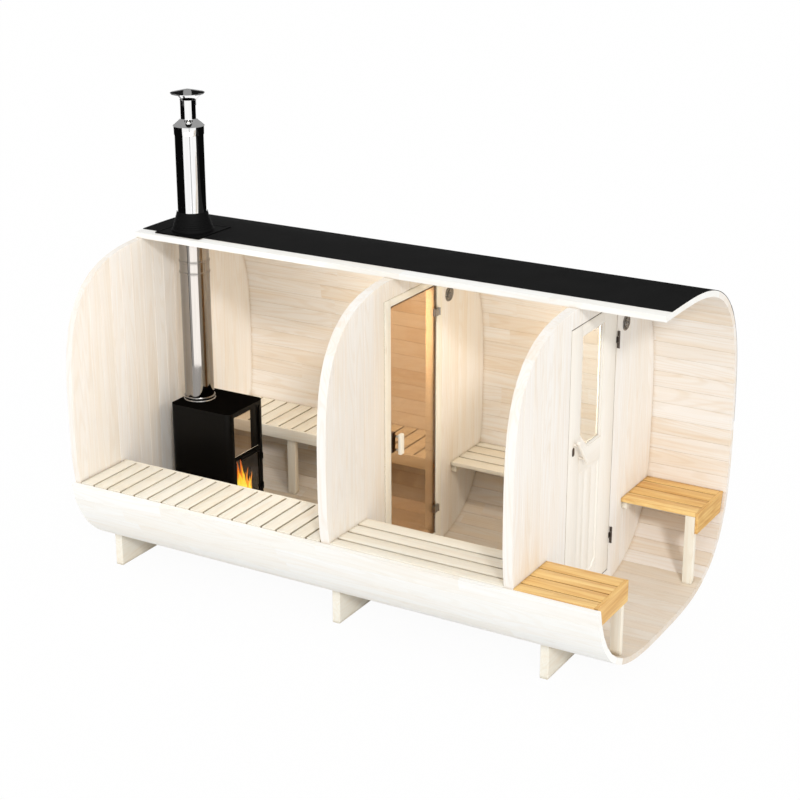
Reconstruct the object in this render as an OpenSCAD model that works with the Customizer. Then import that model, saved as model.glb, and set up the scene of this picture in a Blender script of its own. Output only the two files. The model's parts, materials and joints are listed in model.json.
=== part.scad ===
// Barrel sauna with a rounded-square section, shown with its near side open.
// +X runs along the barrel towards the open terrace, the open side is -Y, +Z is up.
// The origin is on the ground, under the middle cradle and on the barrel's centre plane.

/* [Shell] */
// Length of the barrel
shell_length = 4010; // [3610:10:4610]
// Width of the barrel over its staves
shell_width = 2220; // [2100:10:2400]
// Height of the barrel over its staves
shell_height = 2220; // [2150:10:2400]
// Exponent of the section: 2 is an ellipse, larger is squarer
squareness = 3.15; // [2.9:0.05:3.6]
// Thickness of the staves
stave_thickness = 40; // [32:1:50]
// Number of staves round the whole section
stave_count = 66; // [66]
// Height of the barrel's underside above the ground
ground_gap = 150; // [100:5:220]
// Staves left on the open side, counted up from the bottom
staves_left_low = 12; // [12]
// Staves left on the open side, counted down from the ridge
staves_left_high = 2; // [2]

/* [Cradles] */
// Thickness of a cradle along the barrel
cradle_thickness = 60; // [45:1:90]
// Half the width of a cradle
cradle_reach = 700; // [600:10:760]
// Distance of the first cradle from the closed end
cradle_inset_closed = 48; // [20:1:200]
// Distance of the last cradle from the terrace end
cradle_inset_open = 490; // [300:5:600]
// Distance of the middle cradle, and of the origin, from the barrel's middle, towards the closed end
cradle_offset = 73; // [0:1:200]

/* [Walls] */
// How far the closed end wall is set back into the barrel
end_wall_inset = 10; // [5:1:30]
// Thickness of the closed end wall
end_wall_thickness = 45; // [36:1:60]
// Thickness of the two cross walls
cross_wall_thickness = 66; // [55:1:80]
// Depth of the open terrace
terrace_depth = 581; // [520:1:700]
// Length of the change room
change_length = 1258; // [1100:1:1350]

/* [Roof felt] */
// Thickness of the felt
felt_thickness = 4; // [2:0.5:8]
// Staves from the ridge to the felt's near edge
felt_front_staves = 1.2; // [0.5:0.1:1.8]
// Staves from the ridge down to the felt's far edge
felt_back_staves = 16.5; // [14:0.5:17.5]

/* [Doors] */
// Distance of both doors from the centre plane
door_offset = 45; // [0:1:80]
// Gap round the closed glass door and the closed fire door
door_gap = 5; // [5:0.5:8]
// Gap round the closed outer door
leaf_gap = 8; // [6:0.5:10]
// Width of the inner door frame
frame_width = 771; // [720:1:820]
// Wall left between the inner door frame and the ridge
frame_headroom = 132; // [120:1:250]
// Height of the inner door frame's underside above the barrel's underside
frame_bottom = 110; // [90:1:160]
// Width of the frame's uprights
frame_jamb = 95; // [80:1:110]
// Height of the frame's top rail
frame_head = 70; // [60:1:90]
// Height of the frame's threshold
frame_sill = 60; // [50:1:80]
// How far the frame stands out of the wall on each side
frame_proud = 8; // [4:1:15]
// Width and depth of the step that the glass door closes into
frame_step = 20; // [18:1:26]
// Thickness of the glass door
glass_thickness = 8; // [6:1:10]
// Width of the outer door
leaf_width = 690; // [620:1:720]
// Wall left between the outer door and the ridge
leaf_headroom = 130; // [120:1:250]
// Thickness of the outer door
leaf_thickness = 42; // [36:1:46]
// Height of the outer door's lower edge above the barrel's underside
leaf_bottom = 160; // [130:1:190]
// How far the stop frame covers the outer door's edge
stop_cover = 25; // [15:1:35]

/* [Door furniture] */
// Radius of the hinge barrels
hinge_radius = 8; // [7:0.5:9]
// Radius of the hinge pins
hinge_pin_radius = 4; // [3:0.5:5]
// Height of a hinge of the outer door
leaf_hinge_height = 120; // [90:1:150]
// Height of a hinge of the glass door
glass_hinge_height = 51; // [48:1:80]
// Distance of the hinges from the top and bottom of a door
hinge_inset = 190; // [120:1:260]
// Height of the glass door's grip above its frame's underside
grip_height = 905; // [800:1:950]
// Length of the glass door's wooden grip
grip_length = 145; // [120:1:180]
// Height of the outer door's pull above the door's lower edge
pull_height = 1055; // [950:1:1100]
// Height of the lock above the door's lower edge
lock_height = 1067; // [1050:1:1080]
// Length of the outer door's slanting pull
pull_length = 230; // [220:1:280]

/* [Outer door window] */
// Distance of the window from the middle of the door, towards the lock
window_shift = 14; // [0:1:25]
// Width of the window
window_width = 326; // [280:1:360]
// Height of the window's lower edge above the door's lower edge
window_base = 1035; // [950:1:1100]
// Distance of the window's top below the door's top
window_drop = 75; // [60:1:110]
// Size of the window's slanting lower corner
window_corner = 114; // [90:1:140]
// Thickness of the window glass
window_thickness = 6; // [4:1:10]
// Depth of the lower panel's recess
panel_depth = 6; // [3:0.5:10]

/* [Benches] */
// Height of the seats above the barrel's underside
seat_height = 615; // [605:1:640]
// Distance of the steam room seats' front edge from the centre plane
steam_edge = 540; // [500:1:600]
// Distance of the other seats' front edge from the centre plane
seat_edge = 580; // [540:1:640]
// Thickness of the seat slats
slat_thickness = 28; // [22:1:34]
// Gap between slats
slat_gap = 16; // [8:1:20]
// Number of slats across a steam room seat
steam_slats = 17; // [14:1:20]
// Number of slats along a change room seat
change_slats = 4; // [3:1:5]
// Number of boards along a terrace seat
terrace_boards = 4; // [3:1:5]
// Gap between the boards of a terrace seat
board_gap = 8; // [4:1:12]
// Thickness of the boards that close the seats' edges
apron_thickness = 22; // [18:1:30]
// Height of the steam room seats' front board
apron_height = 88; // [70:1:110]
// Height of the terrace seats' end board
end_board_height = 145; // [120:1:170]
// Distance of the terrace seats from the end of the barrel
terrace_inset = 20; // [5:1:60]
// Width of a leg along the barrel
leg_width = 70; // [50:1:80]
// Depth of a leg across the barrel
leg_depth = 42; // [34:1:50]
// Distance of the steam room legs from the middle of their seat
leg_spread = 300; // [200:1:500]
// Thickness of the battens under the seats
batten_thickness = 38; // [30:1:50]
// Height of the battens under the seats
batten_height = 50; // [40:1:70]

/* [Stove] */
// Distance of the stove from the end wall
stove_gap = 167; // [120:1:240]
// Length of the stove along the barrel
stove_length = 526; // [480:1:600]
// Width of the stove
stove_width = 432; // [400:1:480]
// Height of the stove's top above the barrel's underside
stove_top = 968; // [900:1:1000]
// Height of the recessed plinth
plinth_height = 40; // [30:1:80]
// How far the plinth is set back
plinth_inset = 25; // [15:1:40]
// Radius of the stove's upright edges
stove_corner = 45; // [20:1:55]
// Half the width of the glazed front
front_reach = 160; // [150:1:165]
// Depth of the recess in the stove's front
front_recess = 20; // [18:1:26]
// Height of the fire door's lower edge above the barrel's underside
fire_bottom = 230; // [200:1:280]
// Height of the fire door's upper edge above the barrel's underside
fire_top = 612; // [560:1:640]
// Width of the steel rails of the fire door
fire_rail = 14; // [12:1:30]
// Thickness of the fire door
fire_door_thickness = 12; // [10:1:13]
// Depth of the firebox
firebox_depth = 380; // [320:1:420]

/* [Chimney] */
// Radius of the flue and the chimney
flue_radius = 106; // [95:1:115]
// Distance of the flue from the back of the stove
flue_offset = 115; // [112:1:150]
// Wall of the insulated pipe
flue_wall = 30; // [20:1:35]
// Height of the roof boot
boot_height = 142; // [120:1:220]
// Radius of the roof boot at its foot
boot_foot = 160; // [140:1:175]
// Length and width of the roof boot's plate
boot_plate = 380; // [360:1:390]
// Distance of the flue's band below the ridge
band_drop = 161; // [100:1:250]
// Height of the flue's band
band_height = 104; // [60:1:140]
// Length of the insulated pipe above the roof boot
pipe_length = 607; // [400:1:800]
// Radius of the chimney's neck
neck_radius = 56; // [45:1:65]
// Height of the neck's top above the insulated pipe
neck_height = 177; // [150:1:220]
// Radius of the rain cap
cap_radius = 119; // [100:1:125]
// Height of the rain cap's tip above the neck
cap_height = 74; // [60:1:90]

/* [Vents] */
// Radius of a round vent
vent_radius = 55; // [45:1:70]
// Distance of the vents from the wider doorway's edge
vent_gap = 110; // [95:1:160]
// Distance of the vents below the ridge
vent_drop = 300; // [250:1:400]

/* [Hidden] */
$fn = 64;
pale_wood = "#f2e6d2";
oiled_wood = "#d9a752";
dark_felt = "#202020";
black_steel = "#141414";
bright_steel = "#c8c8c8";
bronze_glass = "#b98a56";

// Sides of the object: -1 is the open front, 1 is the back
front = -1;
back = 1;
// Overshoot of a cutting shape
over = 20;
// Seat of a ring on a pipe, and of a pin in its barrel
seat = 0.3;
running = 0.05;
// Air between the felt and the staves
felt_bed = 0.1;

// Section of the barrel, in the plane across it and about its axis
half_width = shell_width / 2;
half_height = shell_height / 2;
centre_z = ground_gap + half_height;
arc_step = 0.5;
arc_angles = [for (t = [-90 : arc_step : 270]) t];

function curve_radius(t) = pow(
    pow(abs(cos(t)) / half_width, squareness) + pow(abs(sin(t)) / half_height, squareness), -1 / squareness);
function curve_point(t) = curve_radius(t) * [cos(t), sin(t)];
function slope(v, half) = sign(v) * pow(abs(v) / half, squareness - 1) / half;
function curve_normal(p) = let (g = [slope(p.x, half_width), slope(p.y, half_height)]) g / norm(g);
function chord(i) = norm(curve_point(arc_angles[i + 1]) - curve_point(arc_angles[i]));

// Length along the section from the bottom, with the angle that it reaches
arc_table = [
    for (i = 0, s = 0; i < len(arc_angles); s = s + (i + 1 < len(arc_angles) ? chord(i) : 0), i = i + 1)
        [s, arc_angles[i]]
];
arc_total = arc_table[len(arc_table) - 1][0];

// Stave joints are counted from the bottom, first up the back; depth is measured inwards from the outside
function wrap(k) = k - stave_count * floor(k / stave_count);
function joint_angle(k) = lookup(arc_total * wrap(k) / stave_count, arc_table);
function joint_point(k, depth) = let (p = curve_point(joint_angle(k))) p - depth * curve_normal(p);
function section_point(k, depth) = let (low = floor(k), part = k - low)
    part == 0 ? joint_point(low, depth) : (1 - part) * joint_point(low, depth) + part * joint_point(low + 1, depth);
function joints_between(from, to) = concat(
    [from], [for (k = [floor(from) + 1 : 1 : ceil(to) - 1]) k], [to]);

ridge = stave_count / 2;
// Where one group of staves ends and the next begins
floor_staves = 6;
side_start = staves_left_low;
side_end = ridge - staves_left_low;
roof_start = ridge - floor_staves;
roof_end = ridge + staves_left_high;

// Height of the barrel's inner floor at a distance from the centre plane
floor_joints = [for (k = [-side_start : 1 : side_start]) joint_point(k, stave_thickness)];
function floor_height(y) = centre_z + lookup(y, floor_joints);

// Places along the barrel
closed_x = cradle_offset - shell_length / 2;
open_x = cradle_offset + shell_length / 2;
end_wall_start = closed_x + end_wall_inset;
steam_start = end_wall_start + end_wall_thickness;
outer_wall_end = open_x - terrace_depth;
outer_wall_start = outer_wall_end - cross_wall_thickness;
inner_wall_end = outer_wall_start - change_length;
inner_wall_start = inner_wall_end - cross_wall_thickness;
steam_length = inner_wall_start - steam_start;
steam_middle = (steam_start + inner_wall_start) / 2;
terrace_end = open_x - terrace_inset;
// Height of the staves' inner face at the ridge
room_high = ground_gap + shell_height - stave_thickness;

// Inner door: glass in the step of its frame, hinged on the back upright
frame_face = inner_wall_end + frame_proud;
frame_front = door_offset - frame_width / 2;
frame_back = door_offset + frame_width / 2;
frame_low = ground_gap + frame_bottom;
frame_high = room_high - frame_headroom;
glass_inset = frame_jamb - frame_step + door_gap;
glass_front = frame_front + glass_inset;
glass_back = frame_back - glass_inset;
glass_low = frame_low + frame_sill - frame_step + door_gap;
glass_high = frame_high - frame_head + frame_step - door_gap;
glass_start = frame_face - frame_step + door_gap;
glass_face = glass_start + glass_thickness;
// A hinge's pin stands this far out of the face that carries it, and this far beyond the door's edge
pin_stand = 14;
pin_reach = 15;
// Lengths of the plates that hinges have on their doors, and the thickness of the link to the barrel
glass_plate = 38;
leaf_plate = 14;
hinge_link = 8;

// Outer door: a leaf flush with the wall's terrace face, hinged at the back
leaf_front = door_offset - leaf_width / 2;
leaf_back = door_offset + leaf_width / 2;
leaf_low = ground_gap + leaf_bottom;
leaf_high = room_high - leaf_headroom;
leaf_start = outer_wall_end - leaf_thickness;
doorway_front = leaf_front - leaf_gap;
doorway_back = leaf_back + leaf_gap;
doorway_low = leaf_low - leaf_gap;
doorway_high = leaf_high + leaf_gap;
window_front = door_offset - window_width / 2 - window_shift;
window_back = window_front + window_width;
window_high = leaf_high - window_drop;
window_low = leaf_low + window_base;

// Seats
seat_z = ground_gap + seat_height;
slat_z = seat_z - slat_thickness;

// Stove and chimney
stove_start = steam_start + stove_gap;
stove_face = stove_start + stove_length;
stove_high = ground_gap + stove_top;
stove_foot = floor_height(stove_width / 2 - plinth_inset);
fire_low = ground_gap + fire_bottom;
fire_high = ground_gap + fire_top;
fire_pin_stand = 9;
fire_hinge_height = 48;
fire_door_reach = front_reach - door_gap;
fire_door_start = stove_face - front_recess + door_gap;
fire_door_face = fire_door_start + fire_door_thickness;
rail_height = 8;
upper_low = fire_high + rail_height;
upper_high = stove_high - 35;
flue_x = stove_start + flue_offset;
flue_bore = flue_radius - flue_wall;
ridge_z = ground_gap + shell_height + felt_thickness;
boot_high = ridge_z + boot_height;
pipe_high = boot_high + pipe_length;
collar_height = 60;
collar_proud = 5;
cone_height = 43;
neck_high = pipe_high + neck_height;
cap_high = neck_high + cap_height;

// Shared shapes

// Stands a drawing of the section (across, up from the barrel's axis) along the barrel
module along_barrel(start, end)
    translate([start, 0, centre_z]) rotate([90, 0, 90]) linear_extrude(end - start) children();

// Draws a ring of staves between two joints and two depths
module stave_ring(from, to, outer, inner) {
    joints = joints_between(from, to);
    outside = [for (k = joints) section_point(k, outer)];
    inside = [for (i = [len(joints) - 1 : -1 : 0]) section_point(joints[i], inner)];
    polygon(concat(outside, inside));
}

module staves(from, to)
    color(pale_wood) along_barrel(closed_x, open_x) stave_ring(from, to, 0, stave_thickness);

// Draws the room inside the staves
module room_section() polygon([for (k = [0 : stave_count - 1]) joint_point(k, stave_thickness)]);

module wall_disc(start, end) along_barrel(start, end) room_section();

// A block between two corners
module block(low, high) translate(low) cube(high - low);

// Trims what stands inside the barrel to the staves' inner face
module inside_staves(start, end) {
    intersection() {
        wall_disc(start, end);
        union() children();
    }
}

// A wall beside a doorway, on one side of it
module wall_beside(start, end, edge, side) {
    low_y = side == back ? edge : -half_width;
    high_y = side == back ? half_width : edge;
    color(pale_wood) intersection() {
        wall_disc(start, end);
        block([start - over, low_y, ground_gap], [end + over, high_y, ground_gap + shell_height]);
    }
}

// The wall over and under a doorway
module wall_head_and_sill(start, end, front_y, back_y, low_z, high_z) {
    color(pale_wood) intersection() {
        wall_disc(start, end);
        union() {
            block([start - over, front_y, high_z], [end + over, back_y, ground_gap + shell_height]);
            block([start - over, front_y, ground_gap], [end + over, back_y, low_z]);
        }
    }
}

// Heights at which a door's two hinges are centred
function hinge_heights(low, high, inset) = [low + inset, high - inset];

// Moving half of a hinge: a plate on the door, a link from it and a bored barrel round the pin
module hinge_flap(pin, door_face, door_back, height, plate_height, plate_length, link) {
    third = height / 3;
    plate_start = door_back - plate_length;
    outside = pin.x + link / 2;
    plate_clear = 3;
    difference() {
        union() {
            block([door_face, plate_start, -plate_height / 2], [outside, door_back - plate_clear, plate_height / 2]);
            block([pin.x - link / 2, plate_start, -third / 2], [outside, pin.y, third / 2]);
            translate([pin.x, pin.y, -third / 2]) cylinder(r = hinge_radius, h = third);
        }
        translate([pin.x, pin.y, -third]) cylinder(r = hinge_pin_radius + running, h = 2 * third);
    }
}

// Fixed half of a hinge: two lugs on the face beside the door and the pin between them
module hinge_lugs(pin, face, height) {
    third = height / 3;
    lug = third - 2 * seat;
    for (side = [-1, 1]) {
        translate([0, 0, side * third]) {
            block([face, pin.y - hinge_radius, -lug / 2], [pin.x, pin.y + hinge_radius, lug / 2]);
            translate([pin.x, pin.y, -lug / 2]) cylinder(r = hinge_radius, h = lug);
        }
    }
    translate([pin.x, pin.y, -height / 2 + 1]) cylinder(r = hinge_pin_radius, h = height - 2);
}

// A round plate with its axis along the barrel
module disc_on_wall(start, thickness, radius, y, z)
    translate([start, y, z]) rotate([0, 90, 0]) cylinder(r = radius, h = thickness);

// Ground and shell

module cradles() {
    middle = -cradle_thickness / 2;
    starts = [closed_x + cradle_inset_closed, middle, open_x - cradle_inset_open - cradle_thickness];
    color(pale_wood) for (start = starts) {
        difference() {
            block([start, -cradle_reach, 0], [start + cradle_thickness, cradle_reach, centre_z]);
            along_barrel(start - over, start + cradle_thickness + over)
                polygon([for (k = [0 : stave_count - 1]) joint_point(k, 0)]);
        }
    }
}

module shell_floor() staves(-floor_staves, floor_staves);
module shell_front_lower() staves(-staves_left_low, -floor_staves);
module shell_back_lower() staves(floor_staves, side_start);
module shell_back() staves(side_start, side_end);
module shell_back_upper() staves(side_end, roof_start);

module shell_roof() {
    difference() {
        staves(roof_start, roof_end);
        flue_hole();
    }
}

module flue_hole()
    translate([flue_x, 0, ridge_z - stave_thickness - over])
        cylinder(r = flue_radius + 10, h = stave_thickness + 2 * over);

module roof_felt() {
    color(dark_felt) difference() {
        along_barrel(closed_x, open_x) stave_ring(ridge - felt_back_staves, ridge + felt_front_staves, -felt_thickness, -felt_bed);
        flue_hole();
    }
}

// Walls

module end_wall() color(pale_wood) wall_disc(end_wall_start, steam_start);

module inner_wall_front() wall_beside(inner_wall_start, inner_wall_end, frame_front, front);
module inner_wall_back() wall_beside(inner_wall_start, inner_wall_end, frame_back, back);
module inner_wall_head_and_sill()
    wall_head_and_sill(inner_wall_start, inner_wall_end, frame_front, frame_back, frame_low, frame_high);

module outer_wall_front() wall_beside(outer_wall_start, outer_wall_end, doorway_front, front);
module outer_wall_back() wall_beside(outer_wall_start, outer_wall_end, doorway_back, back);
module outer_wall_head_and_sill()
    wall_head_and_sill(outer_wall_start, outer_wall_end, doorway_front, doorway_back, doorway_low, doorway_high);

// Inner door

module inner_door_frame() {
    start = inner_wall_start - frame_proud;
    step_start = frame_face - frame_step;
    step_inset = frame_jamb - frame_step;
    color(pale_wood) difference() {
        block([start, frame_front, frame_low], [frame_face, frame_back, frame_high]);
        block([start - over, frame_front + frame_jamb, frame_low + frame_sill],
            [frame_face + over, frame_back - frame_jamb, frame_high - frame_head]);
        block([step_start, frame_front + step_inset, frame_low + frame_sill - frame_step],
            [frame_face + over, frame_back - step_inset, frame_high - frame_head + frame_step]);
    }
}

module inner_door_glass()
    color(bronze_glass) block([glass_start, glass_front, glass_low], [glass_face, glass_back, glass_high]);

module inner_door_handle() {
    grip_depth = 30;
    grip_width = 45;
    grip_stand = 18;
    post_radius = 8;
    grip_inset = 80;
    grip_y = glass_front + grip_inset;
    grip_z = frame_low + grip_height;
    color(pale_wood) for (side = [-1, 1]) {
        face = side > 0 ? glass_face : glass_start;
        near = face + side * grip_stand;
        far = near + side * grip_depth;
        block([min(near, far), grip_y - grip_width / 2, grip_z - grip_length / 2],
            [max(near, far), grip_y + grip_width / 2, grip_z + grip_length / 2]);
        for (end = [-1, 1])
            translate([min(face, near), grip_y, grip_z + end * grip_length / 3])
                rotate([0, 90, 0]) cylinder(r = post_radius, h = grip_stand);
    }
}

glass_pin = [frame_face + pin_stand, glass_back + pin_reach];
glass_hinge_z = hinge_heights(glass_low, glass_high, hinge_inset);

module inner_door_hinges()
    color(bright_steel) for (z = glass_hinge_z)
        translate([0, 0, z]) hinge_flap(glass_pin, glass_face, glass_back, glass_hinge_height, glass_hinge_height, glass_plate, hinge_link);

module inner_hinge_brackets()
    color(bright_steel) for (z = glass_hinge_z)
        translate([0, 0, z]) hinge_lugs(glass_pin, frame_face, glass_hinge_height);

// Outer door

module outer_door_frame() {
    stop_end = leaf_start - door_gap;
    color(pale_wood) difference() {
        block([outer_wall_start, doorway_front, doorway_low], [stop_end, doorway_back, doorway_high]);
        block([outer_wall_start - over, leaf_front + stop_cover, leaf_low + stop_cover],
            [stop_end + over, leaf_back - stop_cover, leaf_high - stop_cover]);
    }
}

// The window's outline, with its lower front corner cut on the slant
module window_outline() {
    polygon([
        [window_front, window_high - centre_z],
        [window_back, window_high - centre_z],
        [window_back, window_low - centre_z],
        [window_front + window_corner, window_low - centre_z],
        [window_front, window_low + window_corner - centre_z]
    ]);
}

// The lower panel's outline, with its lower back corner cut on the slant
panel_gap = 150;
panel_base = 105;
panel_corner = 60;
panel_high = window_low - panel_gap;
panel_low = leaf_low + panel_base;
module panel_outline() {
    polygon([
        [window_front, panel_high - centre_z],
        [window_back, panel_high - centre_z],
        [window_back, panel_low + panel_corner - centre_z],
        [window_back - panel_corner, panel_low - centre_z],
        [window_front, panel_low - centre_z]
    ]);
}

module outer_door_leaf() {
    color(pale_wood) difference() {
        block([leaf_start, leaf_front, leaf_low], [outer_wall_end, leaf_back, leaf_high]);
        along_barrel(leaf_start - over, outer_wall_end + over) window_outline();
        along_barrel(outer_wall_end - panel_depth, outer_wall_end + over) panel_outline();
    }
}

module outer_door_window() {
    start = leaf_start + (leaf_thickness - window_thickness) / 2;
    color(bronze_glass) along_barrel(start, start + window_thickness) window_outline();
}

// The slanting pull lies along the window's cut corner
module outer_door_handle() {
    pull_width = 24;
    pull_depth = 22;
    pull_stand = 30;
    post_radius = 9;
    pull_inset = 125;
    pull_y = leaf_front + pull_inset;
    pull_z = leaf_low + pull_height;
    pull_slant = 38;
    color(pale_wood) translate([outer_wall_end, pull_y, pull_z]) rotate([pull_slant, 0, 0]) {
        block([pull_stand, -pull_width / 2, -pull_length / 2],
            [pull_stand + pull_depth, pull_width / 2, pull_length / 2]);
        for (end = [-1, 1])
            translate([0, 0, end * pull_length / 3]) rotate([0, 90, 0]) cylinder(r = post_radius, h = pull_stand);
    }
}

module outer_door_lock() {
    plate = 4;
    plate_radius = 16;
    plate_rise = 13;
    lock_inset = 70;
    y = leaf_front + lock_inset;
    z = leaf_low + lock_height;
    color(black_steel) {
        block([outer_wall_end, y - plate_radius, z - plate_rise], [outer_wall_end + plate, y + plate_radius, z + plate_rise]);
        for (end = [-1, 1]) disc_on_wall(outer_wall_end, plate, plate_radius, y, z + end * plate_rise);
    }
}

leaf_pin = [outer_wall_end + pin_stand, doorway_back + hinge_radius];
leaf_hinge_z = hinge_heights(leaf_low, leaf_high, hinge_inset + 60);

module outer_door_hinges()
    color(black_steel) for (z = leaf_hinge_z)
        translate([0, 0, z]) hinge_flap(leaf_pin, outer_wall_end, leaf_back, leaf_hinge_height, leaf_hinge_height / 3, leaf_plate, hinge_link);

module outer_hinge_brackets()
    color(black_steel) for (z = leaf_hinge_z)
        translate([0, 0, z]) hinge_lugs(leaf_pin, outer_wall_end, leaf_hinge_height);

// Benches

// A block that runs from a seat's edge to the staves, on one side of the barrel
module seat_block(side, start, end, edge, low, high) {
    low_y = side == back ? edge : -half_width;
    high_y = side == back ? half_width : -edge;
    inside_staves(start, end) block([start, low_y, low], [end, high_y, high]);
}

module steam_slats_on(side) {
    pitch = steam_length / steam_slats;
    color(pale_wood) for (i = [0 : steam_slats - 1]) {
        start = steam_start + i * pitch + slat_gap / 2;
        seat_block(side, start, start + pitch - slat_gap, steam_edge + apron_thickness, slat_z, seat_z);
    }
}

module steam_bench_front_slats() steam_slats_on(front);
module steam_bench_back_slats() steam_slats_on(back);

// Front board and back rail of each steam room seat
module steam_bench_rails() {
    back_rail_edge = half_width - stave_thickness - 2 * batten_height;
    color(pale_wood) for (side = [front, back]) {
        near = side * steam_edge;
        far = side * (steam_edge + apron_thickness);
        block([steam_start, min(near, far), seat_z - apron_height], [inner_wall_start, max(near, far), seat_z]);
        seat_block(side, steam_start, inner_wall_start, back_rail_edge, slat_z - batten_height, slat_z);
    }
}

// A leg that stands behind a front board and is cut to the staves
module leg(side, start, width, edge, high) {
    near = side * edge;
    far = side * (edge + leg_depth);
    inside_staves(start, start + width)
        block([start, min(near, far), ground_gap], [start + width, max(near, far), high]);
}

module steam_bench_legs() {
    color(pale_wood) for (side = [front, back], end = [-1, 1])
        leg(side, steam_middle + end * leg_spread - leg_width / 2, leg_width, steam_edge + apron_thickness, slat_z);
}

// Slats that run along the barrel, from a seat's edge to the staves
module long_slats(side, start, end, count, gap) {
    depth = half_width - stave_thickness - seat_edge;
    pitch = (depth + gap) / count;
    for (i = [0 : count - 1]) {
        near = side * (seat_edge + i * pitch);
        last = i == count - 1;
        far = side * (last ? half_width : seat_edge + (i + 1) * pitch - gap);
        inside_staves(start, end)
            block([start, min(near, far), slat_z], [end, max(near, far), seat_z]);
    }
}

module change_bench_front_slats()
    color(pale_wood) long_slats(front, inner_wall_end, outer_wall_start, change_slats, slat_gap);
module change_bench_back_slats()
    color(pale_wood) long_slats(back, inner_wall_end, outer_wall_start, change_slats, slat_gap);

// A batten on a cross wall, under the ends of a seat's slats
module wall_batten(side, start)
    seat_block(side, start, start + batten_thickness, seat_edge + slat_gap, slat_z - batten_height, slat_z);

module change_bench_battens() {
    color(pale_wood) for (side = [front, back]) {
        wall_batten(side, inner_wall_end);
        wall_batten(side, outer_wall_start - batten_thickness);
    }
}

module terrace_boards_on(side)
    color(oiled_wood) long_slats(side, outer_wall_end, terrace_end - apron_thickness, terrace_boards, board_gap);

module terrace_bench_front_boards() terrace_boards_on(front);
module terrace_bench_back_boards() terrace_boards_on(back);

module terrace_bench_end_boards() {
    color(oiled_wood) for (side = [front, back])
        seat_block(side, terrace_end - apron_thickness, terrace_end, seat_edge, seat_z - end_board_height, seat_z);
}

module terrace_bench_legs() {
    start = terrace_end - apron_thickness - leg_width;
    color(pale_wood) for (side = [front, back]) leg(side, start, leg_width, seat_edge, slat_z);
}

module terrace_bench_battens()
    color(pale_wood) for (side = [front, back]) wall_batten(side, outer_wall_end);

// Stove

// An upright block with rounded upright edges
module rounded_block(low, high, radius) {
    height = high.z - low.z;
    block([low.x + radius, low.y, low.z], [high.x - radius, high.y, high.z]);
    block([low.x, low.y + radius, low.z], [high.x, high.y - radius, high.z]);
    for (x = [low.x + radius, high.x - radius], y = [low.y + radius, high.y - radius])
        translate([x, y, low.z]) cylinder(r = radius, h = height);
}

module stove_body() {
    half = stove_width / 2;
    body_low = stove_foot + plinth_height;
    firebox_reach = front_reach - 12;
    color(black_steel) difference() {
        union() {
            rounded_block([stove_start, -half, body_low], [stove_face, half, stove_high], stove_corner);
            block([stove_start + plinth_inset, -half + plinth_inset, stove_foot],
                [stove_face - plinth_inset, half - plinth_inset, body_low]);
        }
        block([stove_face - front_recess, -front_reach, fire_low], [stove_face + over, front_reach, fire_high]);
        block([stove_face - front_recess, -front_reach, upper_low], [stove_face + over, front_reach, upper_high]);
        block([stove_face - firebox_depth, -firebox_reach, fire_low + 12],
            [stove_face + over, firebox_reach, fire_high - 12]);
        translate([flue_x, 0, stove_high - 30]) cylinder(r = flue_bore, h = 30 + over);
    }
}

module stove_upper_glass() {
    pane = 6;
    start = stove_face - front_recess;
    color(black_steel) block([start, -front_reach, upper_low], [start + pane, front_reach, upper_high]);
}

// Steel rails of the fire door, with its bar handle and the barrels of its hinges
module stove_door() {
    low = fire_low + door_gap;
    high = fire_high - door_gap;
    bar_radius = 6;
    bar_stand = 24;
    bar_reach = 115;
    bar_z = high - fire_rail / 2;
    color(black_steel) {
        difference() {
            block([fire_door_start, -fire_door_reach, low], [fire_door_face, fire_door_reach, high]);
            block([fire_door_start - over, -fire_door_reach + fire_rail, low + fire_rail],
                [fire_door_face + over, fire_door_reach - fire_rail, high - fire_rail]);
        }
        translate([fire_door_face + bar_stand, bar_reach, bar_z])
            rotate([90, 0, 0]) cylinder(r = bar_radius, h = 2 * bar_reach);
        for (end = [-1, 1])
            translate([fire_door_face - 1, end * 0.8 * bar_reach, bar_z])
                rotate([0, 90, 0]) cylinder(r = bar_radius - 1, h = bar_stand + 1);
        for (z = fire_hinge_z)
            translate([0, 0, z])
                hinge_flap(fire_pin, fire_door_face - 1, fire_door_reach, fire_hinge_height, fire_hinge_height / 3, 20, 6);
    }
}

module stove_door_glass() {
    pane = 5;
    start = fire_door_start + (fire_door_thickness - pane) / 2;
    reach = fire_door_reach - fire_rail;
    inset = door_gap + fire_rail;
    color(bronze_glass) block([start, -reach, fire_low + inset], [start + pane, reach, fire_high - inset]);
}

fire_pin = [stove_face + fire_pin_stand, fire_door_reach + pin_reach];
fire_hinge_z = hinge_heights(fire_low, fire_high, 75);

module stove_hinge_brackets()
    color(black_steel) for (z = fire_hinge_z)
        translate([0, 0, z]) hinge_lugs(fire_pin, stove_face, fire_hinge_height);

// Chimney

// A round pipe from an outline of radius and height, with a straight bore
module turned(outline) translate([flue_x, 0, 0]) rotate_extrude() polygon(outline);

module flue_pipe() {
    flange = 5;
    flange_height = 28;
    band_high = room_high - band_drop;
    band_low = band_high - band_height;
    band = 3;
    color(bright_steel) turned([
        [flue_bore, stove_high],
        [flue_radius + flange, stove_high],
        [flue_radius + flange, stove_high + flange_height],
        [flue_radius, stove_high + flange_height],
        [flue_radius, band_low],
        [flue_radius + band, band_low],
        [flue_radius + band, band_high],
        [flue_radius, band_high],
        [flue_radius, boot_high],
        [flue_bore, boot_high]
    ]);
}

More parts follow.
